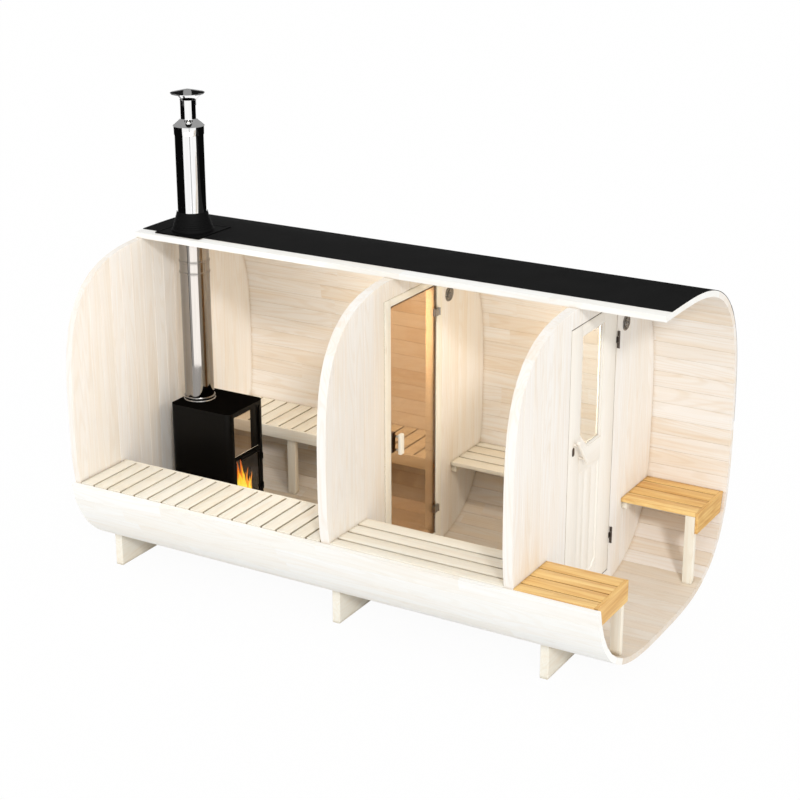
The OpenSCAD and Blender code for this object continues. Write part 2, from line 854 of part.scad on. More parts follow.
module roof_boot() {
    plate = 5;
    rim = 18;
    lip = 8;
    color(dark_felt) {
        difference() {
            translate([flue_x - boot_plate / 2, -boot_plate / 2, ridge_z]) cube([boot_plate, boot_plate, plate]);
            translate([flue_x, 0, ridge_z - over]) cylinder(r = flue_radius + 10, h = 2 * over);
        }
        turned([
            [flue_radius + 10, ridge_z],
            [boot_foot, ridge_z],
            [boot_foot, ridge_z + rim],
            [flue_radius + lip, boot_high - rim],
            [flue_radius + lip, boot_high],
            [flue_radius + seat, boot_high],
            [flue_radius + seat, boot_high - rim],
            [flue_radius + 10, boot_high - 2 * rim]
        ]);
    }
}

module chimney_pipe() {
    neck_bore = neck_radius - 3;
    color(bright_steel) turned([
        [flue_bore, boot_high],
        [flue_radius, boot_high],
        [flue_radius, pipe_high - collar_height],
        [flue_radius + collar_proud, pipe_high - collar_height],
        [flue_radius + collar_proud, pipe_high],
        [neck_radius, pipe_high + cone_height],
        [neck_radius, neck_high],
        [neck_bore, neck_high],
        [neck_bore, pipe_high + cone_height],
        [neck_bore, pipe_high],
        [flue_bore, pipe_high]
    ]);
}

// Rain cap on three straps that rise from a clamp round the neck
module chimney_cap() {
    sheet = 3;
    strap = 18;
    clamp_height = 20;
    clamp_low = neck_high - 2 * clamp_height;
    cap_rise = 25;
    rim_low = cap_high - cap_rise;
    strap_high = cap_high - cap_rise * neck_radius / cap_radius - sheet;
    color(bright_steel) {
        turned([
            [neck_radius + seat, clamp_low],
            [neck_radius + sheet, clamp_low],
            [neck_radius + sheet, clamp_low + clamp_height],
            [neck_radius + seat, clamp_low + clamp_height]
        ]);
        turned([
            [0, cap_high],
            [cap_radius, rim_low],
            [cap_radius, rim_low - 2 * sheet],
            [cap_radius - sheet, rim_low - 2 * sheet],
            [cap_radius - sheet, rim_low - sheet],
            [0, cap_high - sheet]
        ]);
        for (turn = [30 : 120 : 270])
            translate([flue_x, 0, 0]) rotate([0, 0, turn])
                block([neck_radius + seat, -strap / 2, clamp_low], [neck_radius + 2 * sheet, strap / 2, strap_high]);
    }
}

// Vents

module round_vent(face) {
    rim = 10;
    knob = 18;
    knob_radius = vent_radius - 14;
    y = max(frame_back, doorway_back) + vent_gap;
    z = room_high - vent_drop;
    color(bright_steel) {
        disc_on_wall(face, rim, vent_radius, y, z);
        disc_on_wall(face, knob, knob_radius, y, z);
    }
}

module inner_vent() round_vent(inner_wall_end);
module outer_vent() round_vent(outer_wall_end);

cradles();
shell_floor();
shell_front_lower();
shell_back_lower();
shell_back();
shell_back_upper();
shell_roof();
roof_felt();
end_wall();
inner_wall_front();
inner_wall_back();
inner_wall_head_and_sill();
inner_door_frame();
outer_wall_front();
outer_wall_back();
outer_wall_head_and_sill();
outer_door_frame();
inner_door_glass();
inner_door_handle();
inner_door_hinges();
inner_hinge_brackets();
outer_door_leaf();
outer_door_window();
outer_door_handle();
outer_door_lock();
outer_door_hinges();
outer_hinge_brackets();
steam_bench_front_slats();
steam_bench_back_slats();
steam_bench_rails();
steam_bench_legs();
change_bench_front_slats();
change_bench_back_slats();
change_bench_battens();
terrace_bench_front_boards();
terrace_bench_back_boards();
terrace_bench_end_boards();
terrace_bench_legs();
terrace_bench_battens();
stove_body();
stove_upper_glass();
stove_door();
stove_door_glass();
stove_hinge_brackets();
flue_pipe();
roof_boot();
chimney_pipe();
chimney_cap();
inner_vent();
outer_vent();
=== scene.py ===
"""Looks of a barrel sauna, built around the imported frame. All lengths are in metres."""

import bisect
import json
import math
import random

import bmesh
import bpy
from mathutils import Matrix, Vector

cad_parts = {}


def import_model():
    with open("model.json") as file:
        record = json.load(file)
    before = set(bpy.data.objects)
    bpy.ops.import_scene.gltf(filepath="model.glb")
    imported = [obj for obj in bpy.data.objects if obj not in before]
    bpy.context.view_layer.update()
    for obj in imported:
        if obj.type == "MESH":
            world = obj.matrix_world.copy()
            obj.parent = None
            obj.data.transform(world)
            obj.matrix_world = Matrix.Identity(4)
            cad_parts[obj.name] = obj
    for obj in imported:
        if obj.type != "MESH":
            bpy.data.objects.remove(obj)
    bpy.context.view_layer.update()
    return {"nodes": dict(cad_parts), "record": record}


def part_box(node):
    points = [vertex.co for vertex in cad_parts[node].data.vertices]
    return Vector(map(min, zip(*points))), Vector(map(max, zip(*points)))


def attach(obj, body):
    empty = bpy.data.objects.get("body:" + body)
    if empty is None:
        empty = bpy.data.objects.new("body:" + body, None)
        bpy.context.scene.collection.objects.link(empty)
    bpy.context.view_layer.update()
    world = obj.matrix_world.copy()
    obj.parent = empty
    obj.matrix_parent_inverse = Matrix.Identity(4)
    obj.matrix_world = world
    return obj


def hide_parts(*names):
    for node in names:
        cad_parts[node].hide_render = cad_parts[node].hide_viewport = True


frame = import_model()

nodes = frame["nodes"]
chance = random.Random(7)

# Section of the barrel
HALF = 1.11
SQUARENESS = 3.15
STAVE_COUNT = 66
STAVE = 0.040
CENTRE_Z = 1.26
ARC_STEP = 0.5
CLOSED_X = -1.932
OPEN_X = 2.078
RIDGE = STAVE_COUNT // 2

# Places along the barrel
END_WALL_X = -1.922
STEAM_START = -1.877
INNER_START = 0.107
INNER_END = 0.173
OUTER_START = 1.431
OUTER_END = 1.497


# Section of the barrel, counted in staves from the bottom, first up the back

def curve_point(angle):
    c, s = math.cos(angle), math.sin(angle)
    radius = (abs(c / HALF) ** SQUARENESS + abs(s / HALF) ** SQUARENESS) ** (-1 / SQUARENESS)
    return Vector((radius * c, radius * s))


def curve_normal(point):
    def slope(v):
        return math.copysign((abs(v) / HALF) ** (SQUARENESS - 1), v)
    return Vector((slope(point.x), slope(point.y))).normalized()


def arc_table():
    table = [(0.0, math.radians(-90))]
    last = curve_point(table[0][1])
    for i in range(1, int(360 / ARC_STEP) + 1):
        angle = math.radians(-90 + i * ARC_STEP)
        here = curve_point(angle)
        table.append((table[-1][0] + (here - last).length, angle))
        last = here
    return table


ARC = arc_table()


def joint_angle(k):
    along = ARC[-1][0] * (k % STAVE_COUNT) / STAVE_COUNT
    high = bisect.bisect(ARC, (along, math.inf))
    low = high - 1
    part = (along - ARC[low][0]) / (ARC[high][0] - ARC[low][0])
    return ARC[low][1] + part * (ARC[high][1] - ARC[low][1])


def section_point(k, depth):
    """(across, height) of a point on the section, depth inwards from the outside."""
    p = curve_point(joint_angle(k))
    p = p - depth * curve_normal(p)
    return Vector((p.x, p.y + CENTRE_Z))


def chord_point(k, depth):
    """The same on the flat face of a stave."""
    low = math.floor(k)
    part = k - low
    return (1 - part) * section_point(low, depth) + part * section_point(low + 1, depth)


ROOM = [section_point(k, STAVE) for k in range(STAVE_COUNT)]


def room_reach(z):
    """Half width of the room at a height."""
    side = [p for p in ROOM if p.x > 0]
    side.sort(key=lambda p: p.y)
    for a, b in zip(side, side[1:]):
        if a.y <= z <= b.y:
            return a.x + (b.x - a.x) * (z - a.y) / (b.y - a.y)
    return side[0].x


# Mesh building

class Shape:
    """Collects lofted solids, each with the tone and texture place of its board."""

    def __init__(self):
        self.points = []
        self.faces = []
        self.boards = []

    def loft(self, rings, closed=True):
        """A solid through rings of equal length; closed puts a cap on each end."""
        board = (chance.random(), chance.random(), chance.random(), 1.0)
        start = len(self.points)
        count = len(rings[0])
        for ring in rings:
            self.points.extend(Vector(p) for p in ring)
        for i in range(len(rings) - 1):
            for j in range(count):
                a = start + i * count + j
                b = start + i * count + (j + 1) % count
                self.faces.append((a, b, b + count, a + count))
                self.boards.append(board)
        if closed:
            self.faces.append(tuple(start + j for j in reversed(range(count))))
            self.faces.append(tuple(start + (len(rings) - 1) * count + j for j in range(count)))
            self.boards += [board, board]

    def prism(self, places):
        """A solid through outlines of (across, height) at places along X."""
        self.loft([[(x, y, z) for y, z in outline] for x, outline in places])

    def slab(self, start, end, ease, full, inset):
        """A board across X, its two faces eased from a full outline to a smaller one."""
        self.prism(((start, inset), (start + ease, full), (end - ease, full), (end, inset)))

    def box(self, low, high, axis, edge, steps=2):
        """A board between two corners with its long edges rounded; axis is the way it runs."""
        low, high = Vector(low), Vector(high)
        a, b = [i for i in range(3) if i != axis]
        if axis == 1:
            a, b = b, a
        edge = min(edge, (high[a] - low[a]) / 2.1, (high[b] - low[b]) / 2.1)
        section = rounded_rectangle(low[a], high[a], low[b], high[b], edge, steps)
        ease = edge / 2
        inset = rounded_rectangle(low[a] + ease, high[a] - ease, low[b] + ease, high[b] - ease, ease, steps)
        rings = []
        start, end = low[axis], high[axis]
        places = ((start, inset), (start + ease, section), (end - ease, section), (end, inset))
        for place, outline in places:
            ring = []
            for p, q in outline:
                point = [0, 0, 0]
                point[axis], point[a], point[b] = place, p, q
                ring.append(point)
            rings.append(ring)
        self.loft(rings)

    def lathe(self, outline, centre, segments, axis=2, closed=False):
        """Turns an outline of (radius, height) about an upright axis, or about X."""
        rings = []
        for radius, height in outline:
            ring = []
            for i in range(segments):
                turn = 2 * math.pi * i / segments
                p = Vector((radius * math.cos(turn), radius * math.sin(turn), height))
                if axis == 0:
                    p = Vector((p.z, p.x, p.y))
                ring.append(Vector(centre) + p)
            rings.append(ring)
        self.loft(rings, closed)

    def make(self, name, material, body="building", replaces=(), slot="pale_spruce", smooth=0.5):
        """The finished piece, riding on a body; edges sharper than an angle stay sharp."""
        mesh = new_mesh(name, self.points, self.faces)
        layer = mesh.color_attributes.new("board", "FLOAT_COLOR", "CORNER")
        for face, board in zip(mesh.polygons, self.boards):
            for corner in face.loop_indices:
                layer.data[corner].color = board
        mesh.validate()
        mesh.materials.append(material)
        recalculate(mesh)
        mesh.polygons.foreach_set("use_smooth", [True] * len(mesh.polygons))
        mesh.set_sharp_from_angle(angle=smooth)
        piece = put(name, mesh)
        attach(piece, body)
        if replaces:
            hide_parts(*replaces)
        return piece


def new_mesh(name, points, faces):
    mesh = bpy.data.meshes.new(name)
    mesh.from_pydata(points, [], faces)
    return mesh


def put(name, data):
    """A new object in the scene."""
    thing = bpy.data.objects.new(name, data)
    bpy.context.scene.collection.objects.link(thing)
    return thing


def recalculate(mesh):
    """Turns every face outwards."""
    work = bmesh.new()
    work.from_mesh(mesh)
    bmesh.ops.recalc_face_normals(work, faces=work.faces)
    work.to_mesh(mesh)
    work.free()


def rounded_rectangle(x0, x1, y0, y1, radius, steps):
    outline = []
    corners = ((x1 - radius, y0 + radius, -90), (x1 - radius, y1 - radius, 0),
               (x0 + radius, y1 - radius, 90), (x0 + radius, y0 + radius, 180))
    for cx, cy, start in corners:
        for i in range(steps + 1):
            turn = math.radians(start + 90 * i / steps)
            outline.append((cx + radius * math.cos(turn), cy + radius * math.sin(turn)))
    return outline


def steps_from(radius, height, *steps):
    """Points of an outline, each a step of (radius, height) from one place."""
    return [(radius + r, height + z) for r, z in steps]


def clip(outline, axis, limit, keep_above):
    """Cuts an outline of (across, height) by a line."""
    kept = []
    for a, b in zip(outline, outline[1:] + outline[:1]):
        inside_a = (a[axis] >= limit) == keep_above
        inside_b = (b[axis] >= limit) == keep_above
        if inside_a:
            kept.append(a)
        if inside_a != inside_b:
            part = (limit - a[axis]) / (b[axis] - a[axis])
            kept.append(Vector((a[0] + part * (b[0] - a[0]), a[1] + part * (b[1] - a[1]))))
    return kept


# Materials

def new_material(name):
    material = bpy.data.materials.new(name)
    material.use_nodes = True
    tree = material.node_tree
    shader = next(n for n in tree.nodes if n.type == "BSDF_PRINCIPLED")
    return material, tree, shader


def feed(node, socket, value):
    """Links an output to a node's socket, or sets the socket."""
    target = node.inputs[socket]
    if hasattr(value, "is_output"):
        node.id_data.links.new(value, target)
    else:
        target.default_value = value


def add(tree, kind, **values):
    """A new node with its sockets fed and its settings made."""
    node = tree.nodes.new("ShaderNode" + kind)
    for key, value in values.items():
        if key in node.inputs:
            feed(node, key, value)
        else:
            setattr(node, key, value)
    return node


def ramp(source, *stops):
    """Colours or grey levels at places along a value."""
    node = add(source.id_data, "ValToRGB", Fac=source)
    elements = node.color_ramp.elements
    while len(elements) < len(stops):
        elements.new(0.5)
    for element, (place, colour) in zip(elements, stops):
        element.position = place
        element.color = (*colour, 1) if isinstance(colour, tuple) else (colour, colour, colour, 1)
    return node.outputs["Color"]


def mix(tree, way, factor, a, b):
    node = add(tree, "Mix", data_type="RGBA", blend_type=way)
    feed(node, 0, factor)
    for socket, colour in ((6, a), (7, b)):
        feed(node, socket, (*colour, 1) if isinstance(colour, tuple) else colour)
    return node.outputs[2]


def noise(tree, scale, detail, roughness=0.5, vector=None):
    """A noise field over the object, or over another vector."""
    if vector is None:
        vector = add(tree, "TexCoord").outputs["Object"]
    field = add(tree, "TexNoise", Scale=scale, Detail=detail, Roughness=roughness, Vector=vector)
    return field.outputs["Fac"]


def bumped(shader, height, strength, distance):
    bump = add(shader.id_data, "Bump", Strength=strength, Distance=distance, Height=height)
    feed(shader, "Normal", bump.outputs["Normal"])


def wood(name, axis, tones, grain, knot, roughness, figure, streak, shade_colour):
    """Planed softwood whose grain runs along an axis, each board with its own tone and figure, with painted
    shade in its gaps, joints and corners.
    """
    material, tree, shader = new_material(name)
    board = add(tree, "Attribute", attribute_name="board").outputs["Color"]
    shift = add(tree, "VectorMath", operation="SCALE", Scale=9.0)
    feed(shift, 0, board)
    moved = add(tree, "VectorMath", operation="ADD")
    feed(moved, 0, add(tree, "TexCoord").outputs["Object"])
    feed(moved, 1, shift.outputs[0])

    def stretched(along, across):
        scale = [across, across, across]
        scale[axis] = along
        return add(tree, "Mapping", Scale=scale, Vector=moved.outputs[0]).outputs["Vector"]

    def patches(along, across, low, high, amount, under, over, way="MIX"):
        field = noise(tree, 1.0, 3.0, 0.6, stretched(along, across))
        return mix(tree, way, ramp(field, (low, 0), (high, amount * figure)), under, over)

    def rings(along, across, count, amount, under):
        """Growth rings as the level lines of a stretched field."""
        turns = add(tree, "Math", operation="MULTIPLY")
        feed(turns, 0, noise(tree, 1.0, 1.5, 0.4, stretched(along, across)))
        feed(turns, 1, count)
        wave = add(tree, "Math", operation="SINE")
        feed(wave, 0, turns.outputs[0])
        late = ramp(wave.outputs[0], (0.1, 0), (0.95, amount * figure))
        return mix(tree, "MULTIPLY", late, under, grain)

    pale, middle, warm = tones
    split = add(tree, "SeparateColor", Color=board)
    tone = ramp(split.outputs["Red"], (0.0, pale), (0.5, middle), (1.0, warm))
    colour = patches(0.7, 7.0, 0.48, 0.72, 0.7, tone, grain)
    colour = patches(0.9, 11.0, 0.50, 0.72, 1.1, colour, pale)
    colour = rings(0.45, 6.0, 120.0, 0.26, colour)
    colour = patches(1.5, 42.0, 0.48, 0.72, streak, colour, grain, "MULTIPLY")

    spots = add(tree, "TexVoronoi", feature="F1", Scale=1.0, Randomness=1.0, Vector=stretched(1.9, 6.0))
    near = ramp(spots.outputs["Distance"], (0.03, 1), (0.10, 0))
    chosen = add(tree, "SeparateColor", Color=spots.outputs["Color"])
    some = ramp(chosen.outputs["Red"], (0.84, 0), (0.92, 0.9 * figure))
    colour = mix(tree, "MIX", mix(tree, "MULTIPLY", 1.0, near, some), colour, knot)

    # Painted shade: where ambient occlusion is low, in gaps, joints and corners, the colour is multiplied
    # towards a shade colour.
    occlusion = add(tree, "AmbientOcclusion", Distance=0.05, samples=4)
    gap = ramp(occlusion.outputs["AO"], (0.35, 1), (0.75, 0))
    feed(shader, "Base Color", mix(tree, "MULTIPLY", gap, colour, shade_colour))
    fibre = noise(tree, 1.0, 4.0, 0.6, stretched(6.0, 260.0))
    feed(shader, "Roughness", ramp(fibre, (0.3, roughness - 0.06), (0.7, roughness + 0.08)))
    feed(shader, "Specular IOR Level", 0.25)
    bumped(shader, fibre, 0.12, 0.0006)
    return material


STAVE_TONES = ((0.90, 0.87, 0.83), (0.88, 0.83, 0.77), (0.84, 0.75, 0.64))
# Painted shade: a darker copy of the stave tones for the floor, which lies in shade.
SHADED_FLOOR_TONES = ((0.77, 0.71, 0.63), (0.75, 0.67, 0.58), (0.71, 0.61, 0.48))
# Painted shade: a copy between the floor's and the staves' for the lower back, so the inside darkens
# towards the bottom.
SHADED_LOWER_TONES = ((0.85, 0.80, 0.74), (0.83, 0.76, 0.69), (0.79, 0.69, 0.57))
# Painted light: a paler, less warm copy of the stave tones for the lit outer staves at the front and on the
# roof.
LIT_SHELL_TONES = ((0.92, 0.92, 0.90), (0.91, 0.91, 0.885), (0.90, 0.88, 0.83))
WALL_TONES = ((0.90, 0.87, 0.83), (0.89, 0.855, 0.805), (0.87, 0.815, 0.74))
BOARD_TONES = ((0.90, 0.87, 0.78), (0.89, 0.855, 0.755), (0.87, 0.82, 0.70))
DOOR_TONES = ((0.90, 0.865, 0.80), (0.90, 0.86, 0.79), (0.895, 0.85, 0.775))
OIL_TONES = ((0.93, 0.66, 0.28), (0.86, 0.56, 0.21), (0.74, 0.44, 0.145))
GRAIN = (0.82, 0.67, 0.48)
KNOT = (0.56, 0.36, 0.19)
# The next two colours are painted shade, multiplied into gaps, joints and corners where ambient occlusion
# is low.
CREVICE_SHADE = (0.40, 0.34, 0.24)
JOINT_SHADE = (0.80, 0.74, 0.66)
OIL_GRAIN = (0.62, 0.34, 0.10)
OIL_KNOT = (0.28, 0.12, 0.03)
# Dark brown wood for the grip inside the steam room.
DARK_GRIP_TONES = ((0.20, 0.10, 0.045), (0.17, 0.08, 0.035), (0.14, 0.065, 0.03))
DARK_GRIP_GRAIN = (0.09, 0.04, 0.02)


def wood_set(name, *finish):
    """The same wood with its grain along X, Y and Z."""
    return [wood(name + "_" + "xyz"[axis], axis, *finish) for axis in range(3)]


STAVE_WOOD = wood("stave_spruce", 0, STAVE_TONES, GRAIN, KNOT, 0.55, 0.7, 0.25, JOINT_SHADE)
# The floor and lower back copies carry painted shade.
SHADED_FLOOR_WOOD = wood("shaded_floor_spruce", 0, SHADED_FLOOR_TONES, GRAIN, KNOT, 0.55, 0.6, 0.25, JOINT_SHADE)
SHADED_LOWER_WOOD = wood("shaded_lower_spruce", 0, SHADED_LOWER_TONES, GRAIN, KNOT, 0.55, 0.7, 0.25, JOINT_SHADE)
# Painted light: the paler copy for the lit outside staves.
LIT_SHELL_WOOD = wood("lit_shell_spruce", 0, LIT_SHELL_TONES, GRAIN, KNOT, 0.55, 0.3, 0.2, JOINT_SHADE)
WALL_WOOD = wood("wall_spruce", 2, WALL_TONES, GRAIN, KNOT, 0.55, 0.5, 0.2, JOINT_SHADE)
SPRUCE = wood_set("pale_spruce", BOARD_TONES, GRAIN, KNOT, 0.55, 0.5, 0.3, CREVICE_SHADE)
DOOR = wood_set("door_spruce", DOOR_TONES, GRAIN, KNOT, 0.5, 0.22, 0.2, JOINT_SHADE)
DARK_GRIP_WOOD = wood("dark_grip_pine", 2, DARK_GRIP_TONES, DARK_GRIP_GRAIN, OIL_KNOT, 0.5, 0.8, 0.6, CREVICE_SHADE)
OILED = wood_set("oiled_pine", OIL_TONES, OIL_GRAIN, OIL_KNOT, 0.42, 0.75, 0.75, CREVICE_SHADE)


def felt_material():
    material, tree, shader = new_material("mineral_felt")
    grit = noise(tree, 900.0, 2.0, 0.7)
    colour = ramp(grit, (0.30, 0.005), (0.75, 0.015))
    shadow = ramp(noise(tree, 5.0, 3.0), (0.3, 0.85), (0.7, 1))
    feed(shader, "Base Color", mix(tree, "MULTIPLY", 1.0, colour, shadow))
    feed(shader, "Roughness", 0.92)
    feed(shader, "Specular IOR Level", 0.08)
    bumped(shader, grit, 0.25, 0.001)
    return material


def metal(name, colour, roughness, streak=0.0):
    """Sheet metal with a faint upright streak of the mill."""
    material, tree, shader = new_material(name)
    place = add(tree, "TexCoord").outputs["Object"]
    drawn = add(tree, "Mapping", Scale=(120.0, 120.0, 2.0), Vector=place)
    mill = noise(tree, 1.0, 2.0, 0.5, drawn.outputs["Vector"])
    smoothest = max(roughness - streak, 0.01)
    feed(shader, "Roughness", ramp(mill, (0.3, smoothest), (0.7, roughness + streak)))
    feed(shader, "Base Color", ramp(mill, (0.35, tuple(0.93 * c for c in colour)), (0.65, colour)))
    feed(shader, "Metallic", 1.0)
    return material


def enamel(name, colour, roughness, grain):
    """Dark enamel with a fine orange peel; faces that look up are duller."""
    material, tree, shader = new_material(name)
    peel = noise(tree, grain, 2.0)
    feed(shader, "Base Color", ramp(peel, (0.3, tuple(0.8 * c for c in colour)), (0.7, colour)))
    feed(shader, "Roughness", ramp(peel, (0.3, roughness * 0.85), (0.7, roughness * 1.15)))
    bumped(shader, peel, 0.06, 0.0005)
    facing = add(tree, "SeparateXYZ")
    feed(facing, 0, add(tree, "NewGeometry").outputs["Normal"])
    feed(shader, "Specular IOR Level", ramp(facing.outputs["Z"], (0.3, 0.09), (0.9, 0)))
    return material


def glass(name, tint):
    material, _, shader = new_material(name)
    feed(shader, "Base Color", (*tint, 1))
    feed(shader, "Roughness", 0.0)
    feed(shader, "IOR", 1.45)
    feed(shader, "Transmission Weight", 1.0)
    return material


def rubber():
    material, tree, shader = new_material("moulded_rubber")
    feed(shader, "Base Color", ramp(noise(tree, 260.0, 2.0), (0.3, 0.003), (0.7, 0.007)))
    feed(shader, "Roughness", 0.6)
    feed(shader, "Specular IOR Level", 0.07)
    return material


def bark():
    material, tree, shader = new_material("charred_bark")
    rough = noise(tree, 60.0, 5.0, 0.7)
    feed(shader, "Base Color", ramp(rough, (0.3, (0.02, 0.012, 0.008)), (0.7, (0.14, 0.07, 0.035))))
    feed(shader, "Roughness", 0.9)
    bumped(shader, rough, 0.6, 0.004)
    return material


def flame_material(name, low, high, stops):
    """Glowing gas, its colour changing between two heights."""
    material, tree, shader = new_material(name)
    place = add(tree, "SeparateXYZ")
    feed(place, 0, add(tree, "TexCoord").outputs["Object"])
    height = add(tree, "MapRange", Value=place.outputs["Z"])
    feed(height, "From Min", low)
    feed(height, "From Max", high)
    feed(shader, "Base Color", (0.02, 0.006, 0.001, 1))
    feed(shader, "Specular IOR Level", 0.0)
    feed(shader, "Emission Color", ramp(height.outputs[0], *stops))
    feed(shader, "Emission Strength", 1.1)
    return material


FELT = felt_material()
BRIGHT = metal("polished_steel", (0.98, 0.98, 0.975), 0.05, streak=0.02)
FLUE_STEEL = metal("flue_steel", (0.30, 0.28, 0.26), 0.05, streak=0.02)
STEEL = metal("brushed_steel", (0.40, 0.385, 0.37), 0.28, streak=0.05)
HINGE = metal("dark_steel", (0.15, 0.125, 0.11), 0.42, streak=0.06)
SEAM = metal("seam_steel", (0.22, 0.22, 0.22), 0.35)
BLACK = enamel("black_enamel", (0.0035, 0.003, 0.0025), 0.34, 420.0)
BRONZE = glass("bronze_glass", (0.64, 0.425, 0.245))
FIRE_GLASS = glass("fire_glass", (0.95, 0.93, 0.90))
MIRROR = metal("mirror_glass", (0.66, 0.58, 0.50), 0.03)
CLEAR = glass("clear_glass", (0.95, 0.97, 0.96))
RUBBER = rubber()
# Painted shade: a dark finish for the strips that darken the gap round the outer door.
GAP_SHADE = enamel("gap_shade_rubber", (0.10, 0.092, 0.085), 0.6, 200.0)
VENT = metal("vent_metal", (0.30, 0.28, 0.26), 0.38, streak=0.08)


# Ground and shell

def stave_boards(name, start, end, material, replaces):
    """Staves between two joints, each laid as boards with staggered ends."""
    shape = Shape()
    longest, shortest, spread = 1.5, 0.4, 0.9
    for k in range(start, end):
        ends = [CLOSED_X]
        while OPEN_X - ends[-1] > longest:
            ends.append(ends[-1] + shortest + spread * chance.random())
        ends.append(OPEN_X)
        outline = stave_outline(k)
        for a, b in zip(ends, ends[1:]):
            shape.prism(((a, outline), (b, outline)))
    return shape.make(name, material, replaces=replaces, smooth=0.35)


def stave_outline(k):
    """Outline of one stave: smooth outside, flat inside with eased corners."""
    ease_out, ease_in, notch, depth = 0.010, 0.014, 0.0014, 0.0028
    outline = [section_point(k, notch)]
    steps = 4
    for i in range(steps + 1):
        outline.append(section_point(k + ease_out + (1 - 2 * ease_out) * i / steps, 0.0))
    outline.append(section_point(k + 1, notch))
    outline.append(chord_point(k + 0.99999, STAVE - depth))
    outline.append(chord_point(k + 1 - ease_in, STAVE))
    outline.append(chord_point(k + ease_in, STAVE))
    outline.append(chord_point(k, STAVE - depth))
    return outline


FLUE_X = -1.595
FLUE_HOLE = 0.116


def cut_flue_hole(piece):
    """Cuts the round hole for the flue through a piece of the roof."""
    cutter = Shape()
    cutter.lathe([(FLUE_HOLE, 2.2), (FLUE_HOLE, 2.5)], (FLUE_X, 0, 0), 64, closed=True)
    mesh = new_mesh("cutter", cutter.points, cutter.faces)
    recalculate(mesh)
    tool = put("cutter", mesh)
    modifier = piece.modifiers.new("hole", "BOOLEAN")
    modifier.operation = "DIFFERENCE"
    modifier.solver = "EXACT"
    modifier.object = tool
    bpy.context.view_layer.update()
    drilled = piece.evaluated_get(bpy.context.evaluated_depsgraph_get())
    done = bpy.data.meshes.new_from_object(drilled)
    piece.modifiers.clear()
    piece.data = done
    bpy.data.objects.remove(tool)


def shell():
    # The floor and lower back staves take darker copies of the stave wood, painted shade; the front lower
    # and roof staves take a paler, less warm copy, painted light.
    groups = (
        ("floor", -6, 6, SHADED_FLOOR_WOOD),
        ("front_lower", -12, -6, LIT_SHELL_WOOD),
        ("back_lower", 6, 12, SHADED_LOWER_WOOD),
        ("back", 12, 21, STAVE_WOOD),
        ("back_upper", 21, 27, STAVE_WOOD))
    for group, start, end, material in groups:
        stave_boards("shell_" + group + "_staves", start, end, material, ["shell_" + group])
    # Painted light: the roof staves, like the front lower ones, take the paler lit copy of the stave wood.
    roof = stave_boards("shell_roof_staves", 27, 35, LIT_SHELL_WOOD, ["shell_roof"])
    cut_flue_hole(roof)


def felt():
    """Two lengths of roofing felt, the upper one lapped over the lower."""
    shape = Shape()
    thick, steps = 0.004, 60
    for first, last, lift in ((RIDGE - 16.5, RIDGE - 8.6, 0.0002), (RIDGE - 9.4, RIDGE + 1.2, 0.0004)):
        places = [first + (last - first) * i / steps for i in range(steps + 1)]
        lap = 0.0024 if first > RIDGE - 12 else 0.0
        outline = []
        for sheet, order in ((thick, places), (0.0, reversed(places))):
            for k in order:
                raised = lap if k < RIDGE - 8.5 else 0.0
                outline.append(section_point(k, -lift - sheet - raised))
        shape.prism(((CLOSED_X, outline), (OPEN_X, outline)))
    piece = shape.make("roof_felt_sheets", FELT, replaces=["roof_felt"], slot="roof_felt")
    cut_flue_hole(piece)


def outer_floor(y):
    """Height of the barrel's outside at a distance from the centre plane."""
    best = None
    for i in range(-120, 121):
        p = section_point(i / 10, 0.0)
        if best is None or abs(p.x - y) < abs(best.x - y):
            best = p
    return best.y


def cradles():
    shape = Shape()
    ease, steps = 0.003, 48
    for low, high in islands("cradles"):
        reach = high.y
        across = [reach - 2 * reach * i / steps for i in range(steps + 1)]
        full = [(-reach, 0.0), (reach, 0.0)] + [(y, outer_floor(y)) for y in across]
        inset = [(y * (1 - ease / reach), max(z, ease)) for y, z in full]
        shape.slab(low.x, high.x, ease, full, inset)
    shape.make("cradle_boards", SPRUCE[1], replaces=["cradles"], smooth=0.3)


def islands(node):
    """Lowest and highest corner of each solid in a node."""
    mesh = nodes[node].data
    spot, parent, index = {}, [], []

    def find(i):
        while parent[i] != i:
            parent[i] = parent[parent[i]]
            i = parent[i]
        return i

    for v in mesh.vertices:
        key = tuple(round(c, 5) for c in v.co)
        if key not in spot:
            spot[key] = len(parent)
            parent.append(len(parent))
        index.append(spot[key])
    for face in mesh.polygons:
        first = find(index[face.vertices[0]])
        for v in face.vertices[1:]:
            parent[find(index[v])] = first
    boxes = {}
    for key, i in spot.items():
        root = find(i)
        low, high = boxes.setdefault(root, (list(key), list(key)))
        for a in range(3):
            low[a] = min(low[a], key[a])
            high[a] = max(high[a], key[a])
    return sorted(((Vector(a), Vector(b)) for a, b in boxes.values()), key=lambda q: tuple(q[0]))


# Walls

BOARD_WIDTH = 0.118
GROOVE = 0.0014


def wall_boards(shape, start, end, outline):
    """Upright tongued boards across an outline of (across, height)."""
    low = min(p[0] for p in outline)
    high = max(p[0] for p in outline)
    count = max(1, round((high - low) / BOARD_WIDTH))
    width = (high - low) / count
    for i in range(count):
        a = low + i * width
        part = clip(clip(outline, 0, a, True), 0, a + width, False)
        if len(part) < 3:
            continue
        full = [(p[0], p[1]) for p in part]
        inset = [(a + GROOVE + (y - a) * (width - 2 * GROOVE) / width, z) for y, z in full]
        shape.slab(start, end, GROOVE, full, inset)


def wall(name, start, end, cuts, replaces):
    """A wall cut to the room; each cut is a list of (axis, limit, keep_above)."""
    shape = Shape()
    for cut in cuts:
        outline = list(ROOM)
        for axis, limit, above in cut:
            outline = clip(outline, axis, limit, above)
        wall_boards(shape, start, end, outline)
    shape.make(name, WALL_WOOD, replaces=replaces, smooth=0.2)


